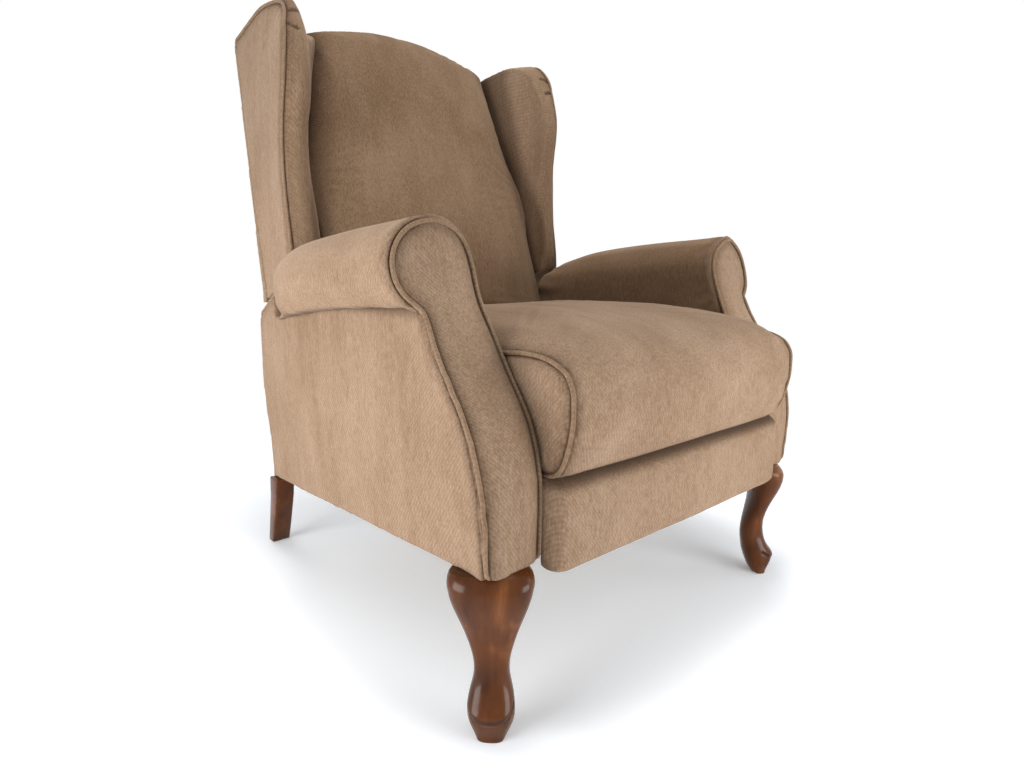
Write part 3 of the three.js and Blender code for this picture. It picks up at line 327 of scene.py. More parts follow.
def makeTimber():
    paint = Paint("frameTimber")
    grain = paint.noise(paint.place(timber["grain"]), detail=5.0, roughness=0.6, distortion=0.8)
    specks = paint.noise(paint.place(), timber["specks"], detail=2.0)
    paint.feed(
        Base_Color=paint.mix(grain.ramp(*timber["grainTones"]), timber["dark"], timber["pale"]),
        Roughness=specks * timber["roughSpread"] + timber["rough"],
        Normal=paint.bump(grain * 0.7 + specks * 0.3, *timber["bump"]),
    )
    return paint.material


steel = {
    "black": (0.022, 0.023, 0.025),
    "worn": (0.085, 0.08, 0.075),
    "wornTones": (0.58, 0.78),
    "metalTones": (0.6, 0.8),
    "peel": 420.0,
    "wear": 38.0,
    "rough": 0.34,
    "roughSpread": 0.16,
    "bump": (0.0003, 0.25),
}


def makeSteel():
    paint = Paint("blackSteel")
    peel = paint.noise(paint.place(), steel["peel"], detail=2.0)
    wear = paint.noise(paint.place(), steel["wear"], detail=4.0, roughness=0.65, distortion=0.6)
    paint.feed(
        Base_Color=paint.mix(wear.ramp(*steel["wornTones"]), steel["black"], steel["worn"]),
        Metallic=wear.ramp(*steel["metalTones"]) * 0.6 + 0.2,
        Roughness=peel * steel["roughSpread"] + steel["rough"],
        Normal=paint.bump(peel, *steel["bump"]),
    )
    return paint.material


lining = {
    "dark": (0.012, 0.012, 0.013),
    "pale": (0.04, 0.039, 0.038),
    "weave": 2600,
    "fuzz": 500.0,
    "rough": 0.85,
    "roughSpread": 0.1,
    "bump": (0.0004, 0.6),
}


def makeLining():
    paint = Paint("blackLining")
    x, y, z = paint.axes(paint.place())
    weave = (x * lining["weave"]).sine() * (y * lining["weave"]).sine() * 0.5 + 0.5
    fuzz = paint.noise(paint.place(), lining["fuzz"])
    paint.feed(
        Base_Color=paint.mix(fuzz, lining["dark"], lining["pale"]),
        Roughness=fuzz * lining["roughSpread"] + lining["rough"],
        Normal=paint.bump(weave, *lining["bump"]),
    )
    return paint.material


cloth = {
    "upright": makeVelvet("velvetUpright", (26, 26, 6)),
    "hanging": makeVelvet("velvetHanging", (30, 30, 5), streaks=(0.45, 0.53)),
    "level": makeVelvet("velvetLevel", (24, 9, 24)),
}
wood = makeCherry()
finishes = {
    "frame_timber": makeTimber(),
    "mechanism_steel": makeSteel(),
    "leg_wood": wood,
    "lining_cloth": makeLining(),
}
for part in frame["record"]["subparts"]:
    finish = finishes.get(part["material_slot"])
    if finish:
        data = nodes[part["node"]].data
        data.materials.clear()
        data.materials.append(finish)
print("materials made")


def deselect():
    if bpy.context.object and bpy.context.object.mode != "OBJECT":
        bpy.ops.object.mode_set(mode="OBJECT")
    bpy.ops.object.select_all(action="DESELECT")


def activate(obj):
    deselect()
    obj.select_set(True)
    bpy.context.view_layer.objects.active = obj


mergeGap = 0.00002
quadAngle = math.radians(50)


def copyOf(nodeName, name):
    data = nodes[nodeName].data.copy()
    data.name = name
    data.materials.clear()
    obj = bpy.data.objects.new(name, data)
    bpy.context.scene.collection.objects.link(obj)
    activate(obj)
    bpy.ops.object.mode_set(mode="EDIT")
    bpy.ops.mesh.select_all(action="SELECT")
    bpy.ops.mesh.remove_doubles(threshold=mergeGap)
    bpy.ops.mesh.tris_convert_to_quads(face_threshold=quadAngle, shape_threshold=quadAngle)
    bpy.ops.object.mode_set(mode="OBJECT")
    return obj


def addModifier(obj, kind, **settings):
    activate(obj)
    modifier = obj.modifiers.new(kind.lower(), kind)
    for key, value in settings.items():
        setattr(modifier, key, value)
    bpy.ops.object.modifier_apply(modifier=modifier.name)


def creaseEdges(obj, angle):
    mesh = bmesh.new()
    mesh.from_mesh(obj.data)
    layer = mesh.edges.layers.float.get("crease_edge") or mesh.edges.layers.float.new("crease_edge")
    for edge in mesh.edges:
        if len(edge.link_faces) == 2 and edge.calc_face_angle(0) > math.radians(angle):
            edge[layer] = 1.0
    mesh.to_mesh(obj.data)
    mesh.free()


def corners(obj):
    places = np.empty(len(obj.data.vertices) * 3, np.float32)
    obj.data.vertices.foreach_get("co", places)
    return places.reshape(-1, 3).astype(float)


def moveCorners(obj, places):
    obj.data.vertices.foreach_set("co", places.astype(np.float32).ravel())
    obj.data.update()


def normals(obj):
    values = np.empty(len(obj.data.vertices) * 3, np.float32)
    obj.data.vertices.foreach_get("normal", values)
    return values.reshape(-1, 3).astype(float)


def swell(obj, amounts):
    moveCorners(obj, corners(obj) + normals(obj) * np.reshape(amounts, (-1, 1)))


def smoothstep(value, low, high):
    t = np.clip((value - low) / (high - low), 0, 1)
    return t * t * (3 - 2 * t)


# from 1 down to 0
def fade(value, low, high):
    return 1 - smoothstep(value, low, high)


# the drop of a rounded edge, from none at 0 to nearly all at 1
def quarterRound(share):
    return 1 - np.sqrt(1 - 0.98 * share)


fractal = (0.6, 2.0)  # how rough it is, and how much finer each layer is than the last


# even, seeded unevenness from -1 to 1 at each place
def ripple(places, scale, seed, detail=2):
    shift = Vector((seed, seed * 0.7, -seed))
    return np.array([noise.fractal(Vector(p) + shift, *fractal, detail) for p in places * scale])


# the same with a height, and stretched where the wave says so
def waves(places, wave):
    stretch = np.array(wave.get("stretch", (1, 1, 1)))
    return ripple(places * stretch, wave["scale"], wave["seed"]) * wave["height"]


def roundOver(obj, voxel, rounds, crease=42, reshape=None):
    creaseEdges(obj, crease)
    addModifier(obj, "SUBSURF", levels=2, render_levels=2)
    if reshape:
        moveCorners(obj, reshape(corners(obj)))
    activate(obj)
    obj.data.remesh_voxel_size = voxel
    obj.data.remesh_voxel_adaptivity = 0
    bpy.ops.object.voxel_remesh()
    addModifier(obj, "SMOOTH", factor=0.5, iterations=rounds)


inflation = {
    "quality": 6,
    "mass": 0.3,
    "tension_stiffness": 25,
    "compression_stiffness": 10,
    "bending_stiffness": 0.6,
    "use_pressure": True,
}
inflationFrames = 20
tiny = 1e-9


# inflates a pad with cloth; what stays picks is held still, and nothing moves further than cap
def puff(obj, pressure, cap, stays):
    before = corners(obj)
    activate(obj)
    modifier = obj.modifiers.new("cloth", "CLOTH")
    for key, value in inflation.items():
        setattr(modifier.settings, key, value)
    modifier.settings.uniform_pressure_force = pressure
    modifier.settings.effector_weights.gravity = 0
    group = obj.vertex_groups.new(name="held")
    group.add([int(i) for i in np.nonzero(stays(before))[0]], 1.0, "REPLACE")
    modifier.settings.vertex_group_mass = "held"
    modifier.point_cache.frame_start = 1
    modifier.point_cache.frame_end = inflationFrames
    for step in range(1, inflationFrames + 1):
        bpy.context.scene.frame_set(step)
    bpy.ops.object.modifier_apply(modifier=modifier.name)
    change = corners(obj) - before
    length = np.linalg.norm(change, axis=1, keepdims=True)
    moveCorners(obj, before + change * np.minimum(1, cap / np.maximum(length, tiny)))
    bpy.context.scene.frame_set(1)


def finishPad(obj, body, material, fill, *nodeNames):
    activate(obj)
    bpy.ops.object.shade_smooth()
    obj.data.materials.clear()
    obj.data.materials.append(material)
    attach(obj, body)
    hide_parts(*nodeNames)


# the places along the edges that keep picks, in order from the end nearest to start
def edgeChain(obj, keep, start):
    mesh = bmesh.new()
    mesh.from_mesh(obj.data)
    mesh.normal_update()
    links = {}
    for edge in mesh.edges:
        if len(edge.link_faces) == 2 and keep(edge):
            a, b = edge.verts
            links.setdefault(a, []).append(b)
            links.setdefault(b, []).append(a)
    ends = [v for v, others in links.items() if len(others) == 1] or list(links)
    at = min(ends, key=lambda v: (v.co - Vector(start)).length)
    chain, seen = [at.co.copy()], {at}
    while True:
        following = [v for v in links[at] if v not in seen]
        if not following:
            break
        at = min(following, key=lambda v: (v.co - at.co).length)
        seen.add(at)
        chain.append(at.co.copy())
    mesh.free()
    return chain


curveSteps = 12


# the same line on a smooth curve, with points an even gap apart
def evenly(points, gap):
    line = [Vector(p) for p in points]
    dense = []
    for i in range(len(line) - 1):
        p0, p1, p2, p3 = (line[max(i - 1, 0)], line[i], line[i + 1], line[min(i + 2, len(line) - 1)])
        for j in range(curveSteps):
            t = j / curveSteps
            bend = (2 * p0 - 5 * p1 + 4 * p2 - p3) * t * t + (3 * p1 - p0 - 3 * p2 + p3) * t**3
            dense.append(0.5 * (2 * p1 + (p2 - p0) * t + bend))
    dense.append(line[-1])
    out, since = [dense[0]], 0.0
    for a, b in zip(dense, dense[1:]):
        since += (b - a).length
        if since >= gap:
            out.append(b)
            since = 0.0
    out.append(dense[-1])
    return out


# the same line without sharp turns
def soften(points, gap=0.012, turns=2):
    line = evenly(points, gap)
    for turn in range(turns):
        inner = [(a + b + c) / 3 for a, b, c in zip(line, line[1:], line[2:])]
        line = [line[0]] + inner + [line[-1]]
    return line


def treeOf(spots):
    tree = KDTree(len(spots))
    for i, spot in enumerate(spots):
        tree.insert(spot, i)
    tree.balance()
    return tree


# a float layer on the mesh that the materials read
def addLayer(obj, name, values):
    layer = obj.data.attributes.get(name) or obj.data.attributes.new(name, "FLOAT", "POINT")
    old = np.empty(len(values), np.float32)
    layer.data.foreach_get("value", old)
    layer.data.foreach_set("value", np.maximum(old, np.asarray(values, np.float32)))


filling = {"gap": 0.003, "limit": 0.009, "neighbours": 5, "flat": 0.002, "reach": 0.022}


# brings the pad out again to a seam that was rounded away
def fillOut(obj, points, share=0.85):
    spots = evenly(points, filling["gap"])
    found = [obj.closest_point_on_mesh(spot)[1] for spot in spots]
    pulls = np.array([(spot - near) for spot, near in zip(spots, found)]) * share
    pulls *= np.minimum(1, filling["limit"] / np.maximum(np.linalg.norm(pulls, axis=1, keepdims=True), tiny))
    tree = treeOf(found)
    places = corners(obj)
    for i, place in enumerate(places.copy()):
        close = tree.find_n(Vector(place), filling["neighbours"])
        away = close[0][2]
        if away < filling["reach"]:
            pull = pulls[[c[1] for c in close]].mean(axis=0)
            places[i] += pull * fade(away, filling["flat"], filling["reach"])
    moveCorners(obj, places)


seam = {
    "gap": 0.002,
    "sink": 0.0028,
    "flat": 0.0015,
    "width": 0.012,
    # the painted shade beside a seam: a dark line close in, and a fainter halo further out
    "line": (0.0034, 0.0082),
    "halo": (0.004, 0.024),
    "haloShare": 0.34,
    "gatherStart": (0.003, 0.012),
    "turn": 6.283,  # from one gather to the next
    "wander": {"scale": 22, "size": 2.4},
    "fullness": {"scale": 9, "least": 0.55, "spread": 0.45, "seed": 5},
}


# a valley and a shadow colour along a seam, and the small gathers that run away from it
def pressSeam(obj, points, gathers=None, sink=seam["sink"], shade=1.0, width=None):
    places = corners(obj)
    tree = treeOf(evenly(points, seam["gap"]))
    found = [tree.find(Vector(p))[1:] for p in places]
    run, away = np.array(found).T
    amount = -sink * fade(away, seam["flat"], width or seam["width"])
    if gathers:
        wander, fullness = seam["wander"], seam["fullness"]
        phase = run * seam["gap"] / gathers["pitch"] * seam["turn"]
        phase += wander["size"] * ripple(places, wander["scale"], gathers["seed"], 1)
        uneven = ripple(places, fullness["scale"], gathers["seed"] + fullness["seed"], 1)
        wave = np.sin(phase) * (fullness["least"] + fullness["spread"] * uneven)
        start, end = seam["gatherStart"]
        amount += gathers["height"] * wave * smoothstep(away, start, end) * fade(away, end, gathers["reach"])
    swell(obj, amount)
    # painted shade along the seam
    inner, outer = seam["line"]
    dark = fade(away, inner, min(outer, width or outer))
    if width is None:
        dark = np.maximum(dark, seam["haloShare"] * fade(away, *seam["halo"]))
    addLayer(obj, "seam", shade * dark)


welt = {
    "radius": 0.0029,
    "gap": 0.004,
    "sides": 4,
    "snap": 0.012,
    "lumps": 60,
    "lumpSize": 0.06,
    "endSink": 0.8,  # of the radius
    "away": 0.4,
}


# a covered cord along a seam, laid on the pad's surface
def addWelt(name, points, body, material, onto, lift=0.0012):
    curve = bpy.data.curves.new(name, "CURVE")
    curve.dimensions = "3D"
    curve.bevel_depth = welt["radius"]
    curve.bevel_resolution = welt["sides"]
    curve.use_fill_caps = True
    places, outs = [], []
    for spot in evenly(points, welt["gap"]):
        hit, near, out, face = onto.closest_point_on_mesh(spot)
        places.append(near + out * lift if hit and (near - spot).length < welt["snap"] else spot)
        outs.append(out)
    for turn in range(2):
        inner = [(a + 2 * b + c) / 4 for a, b, c in zip(places, places[1:], places[2:])]
        places = [places[0]] + inner + [places[-1]]
    # the ends run down into the seam
    for i, share in ((0, 1), (1, 0.5), (-1, 1), (-2, 0.5)):
        places[i] = places[i] - outs[i] * share * (lift + welt["endSink"] * welt["radius"])
    line = curve.splines.new("POLY")
    line.points.add(len(places) - 1)
    for point, place in zip(line.points, places):
        point.co = (*place, 1)
        point.radius = 1 + noise.noise(place * welt["lumps"]) * welt["lumpSize"]
    obj = bpy.data.objects.new(name, curve)
    bpy.context.scene.collection.objects.link(obj)
    activate(obj)
    bpy.ops.object.convert(target="MESH")
    bpy.ops.object.shade_smooth()
    obj.data.materials.clear()
    obj.data.materials.append(material)
    # painted shade: each cord is darkened all over
    addLayer(obj, "away", np.full(len(obj.data.vertices), welt["away"]))
    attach(obj, body)


def sideOf(side):
    return 1 if side == "right" else -1


arm = {
    "voxel": 0.004,
    "grow": 0.0016,
    "scroll": (0.342, 0.58),
    "tighten": 0.07,  # the cord pulls the scroll in by this share
    "neck": (0.49, 0.55),
    "frontVoxel": 0.0035,
    "frontFace": -0.35,
    "frontStart": (0.278, -0.399, 0.226),
    "hem": 0.2285,
    "forwardFaces": (0.3, 0.8),
    "crown": {"middle": 0.324, "half": 0.05, "rise": (0, 0.8), "height": 0.005},
    "frontWaves": {"stretch": (1, 1, 0.5), "scale": 9, "seed": 12, "height": 0.0012},
    "frontGathers": {"height": 0.0005, "pitch": 0.013, "reach": 0.03, "seed": 3},
}


def armFront(side):
    s = sideOf(side)
    obj = copyOf("arm_facing_" + side, "armFront" + side.title())

    def onEdge(e):
        forward = [f.normal.y < arm["frontFace"] for f in e.link_faces]
        return forward[0] != forward[1] and not all(v.co.z < arm["hem"] for v in e.verts)

    x, y, z = arm["frontStart"]
    outline = soften(edgeChain(obj, onEdge, (s * x, y, z)))
    middle = Vector((s * arm["scroll"][0], 0, arm["scroll"][1]))
    for i, place in enumerate(outline):
        away = place - middle
        away.y = 0
        outline[i] = place - away * arm["tighten"] * smoothstep(place.z, *arm["neck"])
    roundOver(obj, arm["frontVoxel"], rounds=4)
    fillOut(obj, outline)
    places = corners(obj)
    forward = smoothstep(-normals(obj)[:, 1], *arm["forwardFaces"])
    crown = arm["crown"]
    across = np.clip(1 - np.abs(np.abs(places[:, 0]) - crown["middle"]) / crown["half"], 0, 1)
    swell(obj, arm["grow"] + forward * smoothstep(across, *crown["rise"]) * crown["height"])
    swell(obj, forward * waves(places, arm["frontWaves"]))
    pressSeam(obj, outline, arm["frontGathers"])
    finishPad(obj, "base", cloth["upright"], 0.9, "arm_facing_" + side)
    addWelt("armWelt" + side.title(), outline, "base", cloth["upright"], obj, lift=0.002)
    return outline


roll = {
    "rearReach": 0.022,  # how far the roll's inner side runs on behind the wing
    "reachHeights": (0.545, 0.585),
    "reachDepths": (0.12, 0.17),
    "reachSides": (0.284, 0.306),
    "middle": (0.342, 0.56),
    "foldDepth": 0.002,
    "folds": {"count": 13, "share": 0.6, "depths": (0.09, 0.17)},
    "foldWander": {"scale": 9, "seed": 4, "height": 2},
    "slack": {"stretch": (1, 2.2, 1), "scale": 16, "seed": 11, "height": 1.2},
    "slackFaces": (0.1, 0.8),
    "slackSides": (0.34, 0.37),
    "drape": {"stretch": (1, 0.7, 1), "scale": 6, "seed": 21, "height": 0.8},
    "drapeHeights": (0.45, 0.6),
    "gathers": {"height": 0.0007, "pitch": 0.02, "reach": 0.06, "seed": 6},
    "sink": 0.001,
    "away": 0.75,
    "inwardFaces": (0.1, 0.75),
    "topFaces": (0.75, 0.95),
    "underShade": 0.6,
    "underFaces": (0.55, 0.95),
    "underSides": (0.37, 0.392),
}


def armRoll(side, outline):
    obj = copyOf("arm_pad_" + side, "armRoll" + side.title())

    def runOn(places):
        low = fade(places[:, 2], *roll["reachHeights"])
        rear = smoothstep(places[:, 1], *roll["reachDepths"])
        inner = fade(np.abs(places[:, 0]), *roll["reachSides"])
        places[:, 1] += roll["rearReach"] * low * rear * inner
        return places

    roundOver(obj, arm["voxel"], rounds=7, reshape=runOn)
    fillOut(obj, outline)
    swell(obj, np.full(len(obj.data.vertices), arm["grow"]))
    places = corners(obj)
    out = normals(obj)
    x, y, z = np.abs(places[:, 0]), places[:, 1], places[:, 2]
    turn = np.arctan2(z - roll["middle"][1], x - roll["middle"][0])
    folds = np.sin(turn * roll["folds"]["count"] + waves(places, roll["foldWander"]))
    folds *= smoothstep(y, *roll["folds"]["depths"]) * roll["folds"]["share"]
    slack = waves(places, roll["slack"]) * smoothstep(-out[:, 2], *roll["slackFaces"])
    slack *= smoothstep(x, *roll["slackSides"])
    drape = waves(places, roll["drape"]) * smoothstep(z, *roll["drapeHeights"])
    swell(obj, (folds + slack + drape) * roll["foldDepth"])
    pressSeam(obj, outline, roll["gathers"], sink=roll["sink"])
    # painted shade on the roll's inward side, less towards its top
    inward = smoothstep(-sideOf(side) * out[:, 0], *roll["inwardFaces"])
    addLayer(obj, "away", roll["away"] * inward * fade(out[:, 2], *roll["topFaces"]))
    under = smoothstep(-out[:, 2], *roll["underFaces"])
    addLayer(obj, "seam", roll["underShade"] * under * fade(x, *roll["underSides"]))
    finishPad(obj, "base", cloth["level"], 0.85, "arm_pad_" + side)


panel = {
    "shoulder": ((0.172, 0.548), (0.199, 0.5445), (0.246, 0.5205), (0.292, 0.4965)),
    "shoulderInset": 0.0155,
    "shoulderShade": 0.6,
    "outFaces": (0.4, 0.9),
    "waves": {"stretch": (1, 1, 0.6), "scale": 5, "seed": 31, "height": 0.0016},
    "gathers": {"height": 0.0006, "pitch": 0.024, "reach": 0.05, "seed": 9},
    "under": (0.514, 0.534),  # where the panel meets the roll
    "underShade": 0.7,
}


def sidePanel(side, outline):
    s = sideOf(side)
    obj = copyOf("side_panel_" + side, "sidePanel" + side.title())
    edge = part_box("side_panel_right")[1].x - panel["shoulderInset"]
    ridge = [(s * edge, y, z) for y, z in panel["shoulder"]]
    roundOver(obj, arm["voxel"], rounds=5)
    fillOut(obj, outline)
    places = corners(obj)
    face = smoothstep(s * normals(obj)[:, 0], *panel["outFaces"])
    swell(obj, arm["grow"] + waves(places, panel["waves"]) * face)
    pressSeam(obj, outline, panel["gathers"])
    pressSeam(obj, ridge, shade=panel["shoulderShade"])
    under = smoothstep(places[:, 2], *panel["under"]) * (places[:, 1] < ridge[0][1])
    addLayer(obj, "seam", panel["underShade"] * under)
    finishPad(obj, "base", cloth["hanging"], 0.9, "side_panel_" + side)
    addWelt("shoulderWelt" + side.title(), ridge, "base", cloth["upright"], obj)


for side in sides:
    line = armFront(side)
    armRoll(side, line)
    sidePanel(side, line)
print("arms made")

seat = {
    "voxel": 0.005,
    "gussetShare": 0.985,  # of the half width
    "onGusset": 0.0006,
    "ringStart": (-0.334, 0.39),
    "ringRear": (-0.094, 0.42),  # behind this and under it there is no seam
    "rollDrop": 0.006,
    "rollHeights": (0.335, 0.4),
    "rollDepths": (-0.34, -0.3),
    "fillShare": 0.6,
    "pressure": 1.6,
    "cap": 0.006,
    "heldRim": 0.012,
    "heldBelow": 0.4,
    "grow": 0.0012,
    "sideLift": 0.01,  # the fill stands up beside the gusset
    "liftSides": ((0.05, 0.19), (0.225, 0.266)),
    "topFaces": (0.3, 0.85),
    "broad": {"scale": 4.5, "seed": 8, "height": 0.002},
    "fine": {"stretch": (0.5, 1.6, 1.6), "scale": 15, "seed": 3, "height": 0.0011},
    "fineSides": (0.16, 0.26),
    "fineDepths": (-0.36, -0.25),
    "fineLeast": 0.4,  # of it, behind the rolled front
    "gathers": {"height": 0.0014, "pitch": 0.016, "reach": 0.06, "seed": 14},
    "armsFrom": (-0.33, 0.42),  # behind this and above it the cushion lies between the arms
    "underShade": 0.75,
    "underFaces": (0.45, 0.95),
    "besideShade": 0.5,
    "besideSides": (0.222, 0.268),
    "besideDepths": (-0.34, -0.27),
}


def seatCushion():
    obj = copyOf("seat_cushion", "seatCushion")
    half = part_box("seat_cushion")[1].x
    gusset = seat["gussetShare"] * half
    rings = {}
    for side in sides:
        s = sideOf(side)

        def onSeam(e):
            y, z = seat["ringRear"]
            level = all(abs(v.co.x - s * gusset) < seat["onGusset"] for v in e.verts)
            return level and all(v.co.y < y or v.co.z > z for v in e.verts)

        rings[side] = edgeChain(obj, onSeam, (s * gusset, *seat["ringStart"]))

    def dropRoll(places):
        low = fade(places[:, 2], *seat["rollHeights"])
        places[:, 2] -= seat["rollDrop"] * low * fade(places[:, 1], *seat["rollDepths"])
        return places

    def held(p):
        return (np.abs(p[:, 0]) > gusset - seat["heldRim"]) | (p[:, 2] < seat["heldBelow"])

    roundOver(obj, seat["voxel"], rounds=6, crease=30, reshape=dropRoll)
    for ring in rings.values():
        fillOut(obj, ring, seat["fillShare"])
    puff(obj, seat["pressure"], seat["cap"], held)
    places = corners(obj)
    front = fade(places[:, 1], *seat["fineDepths"])
    broad = waves(places, seat["broad"])
    aside = np.abs(places[:, 0])
    stands = smoothstep(aside, *seat["liftSides"][0]) * fade(aside, *seat["liftSides"][1])
    places[:, 2] += seat["sideLift"] * stands * smoothstep(normals(obj)[:, 2], *seat["topFaces"])
    moveCorners(obj, places)
    fine = waves(places, seat["fine"]) * smoothstep(aside, *seat["fineSides"])
    least = seat["fineLeast"]
    swell(obj, seat["grow"] + broad + fine * (least + (1 - least) * front))
    for ring in rings.values():
        pressSeam(obj, ring, seat["gathers"])
    places = corners(obj)
    between = (places[:, 1] > seat["armsFrom"][0]) & (places[:, 2] > seat["armsFrom"][1])
    places[between, 0] = np.clip(places[between, 0], -half, half)
    moveCorners(obj, places)
    addLayer(obj, "seam", seat["underShade"] * smoothstep(-normals(obj)[:, 2], *seat["underFaces"]))
    beside = smoothstep(np.abs(places[:, 0]), *seat["besideSides"])
    addLayer(obj, "seam", seat["besideShade"] * beside * smoothstep(places[:, 1], *seat["besideDepths"]))
    finishPad(obj, "seat", cloth["level"], 0.85, "seat_cushion")
    for side, ring in rings.items():
        addWelt("seatWelt" + side.title(), ring, "seat", cloth["level"], obj, lift=0.0018)


seatCushion()
print("seat made")

back = {
    "voxel": 0.005,
    "archLift": 0.008,
    "archHeights": (0.9, 1.06),
    "widen": 0.014,  # the pad is pressed against the wings
    "widenSides": (0.12, 0.2),
    "widenHeights": (0.64, 0.72),
    "pressure": 1.2,
    "cap": 0.008,
    "heldBelow": 0.5,
    "heldSides": 0.25,
    "grow": 0.002,
    "waves": {"scale": 4, "seed": 15, "height": 0.0022},
    "joint": ((0.676, 1.015), (0.27, 0.213)),  # half of the width between the wings, by height
    "away": 0.76,
    "sideShade": 0.8,
    "sideReach": (0.004, 0.06),
}


# half of the width between the wings at each place
def betweenWings(places):
    return np.interp(places[:, 2], *back["joint"]) + back["widen"]


def backCushion():
    obj = copyOf("back_cushion", "backCushion")

    def liftArch(places):
        places[:, 2] += back["archLift"] * smoothstep(places[:, 2], *back["archHeights"])
        outer = smoothstep(np.abs(places[:, 0]), *back["widenSides"])
        outer *= smoothstep(places[:, 2], *back["widenHeights"])
        places[:, 0] += np.sign(places[:, 0]) * back["widen"] * outer
        return places

    def held(p):
        return (p[:, 2] < back["heldBelow"]) | (np.abs(p[:, 0]) > back["heldSides"])

    roundOver(obj, back["voxel"], rounds=7, crease=50, reshape=liftArch)
    puff(obj, back["pressure"], back["cap"], held)
    places = corners(obj)
    swell(obj, back["grow"] + waves(places, back["waves"]))
    # painted shade over the whole inside back
    addLayer(obj, "away", np.full(len(places), back["away"]))
    reach = betweenWings(places) - np.abs(places[:, 0])
    addLayer(obj, "seam", back["sideShade"] * fade(reach, *back["sideReach"]))
    finishPad(obj, "back", cloth["upright"], 0.85, "back_cushion")


wings = {
    "voxel": 0.004,
    "grow": 0.0012,
    "start": (0.331, 0.186, 0.58),
    "outer": 0.3,
    "outwardFaces": (0.7, 0.75),
    "rearEdge": {"y": 0.2992, "z": 0.517, "lean": 0.2766, "margin": 0.026},
    "lowEdge": {"y": 0.182, "z": 0.5925, "slope": 0.6},
    "top": 1.0,  # what is higher belongs to the top edge
    "topDepth": 0.11,
    "border": (0.31, 0.048),  # where it starts at the side, and its width
    "topRound": {"left": 0.045, "right": 0.008},
    "topFill": {"left": 0.013, "right": 0.0},
    "turn": {"left": (0.25, 0.37), "right": (0.2, 0.242)},
    "archShare": {"left": 1.0, "right": 0.3},
    "arch": ((0.205, 0.247, 0.271, 0.309, 0.352, 0.397, 0.437), (0, 0, 0.006, 0.012, 0.01, 0.005, 0)),
    "settle": {"left": 0.006, "right": -0.009},  # how far each apex has sunk with use
    "settleDepths": (0.25, 0.31),
    "tuck": {"left": 0.0, "right": 0.011},
    "tuckSides": (0.28, 0.32),
    "tuckDepths": (0.2, 0.3),
    "tuckHeights": ((0.75, 0.9), (0.97, 1.02)),
    "slim": 0.013,
    "slimSides": (0.29, 0.03),
    "slimDepths": (0.2, 0.31),
    "slimHeights": (0.62, 0.85),
    "fill": {"left": 0.85, "right": 0.4},
    "rearCorner": ((0, 0.003, -0.008), (0, 0.001, -0.02)),  # how the cord turns down at its rear end
    "waves": {"stretch": (1, 1, 0.6), "scale": 6, "seed": 41, "height": 0.0014},
    "gathers": {"height": 0.0006, "pitch": 0.022, "reach": 0.04, "seed": 17},
    "insideShade": 0.2,
    "insideFaces": (0.0, 0.6),
    "borderShade": 0.55,
    "borderFaces": (0.3, 0.8),
    "jointShade": 0.6,
    "jointFaces": (0.2, 0.6),
    "jointReach": (0.002, 0.018),
    "folds": ((1.012, 0.024, 0.25), (0.984, 0.022, -0.25)),  # height, length and slope
    "foldStart": 0.004,
    "foldSet": -0.002,
    "foldsBefore": 0.24,
    "foldSeam": {"sink": 0.0026, "shade": 0.75, "width": 0.0046},
}


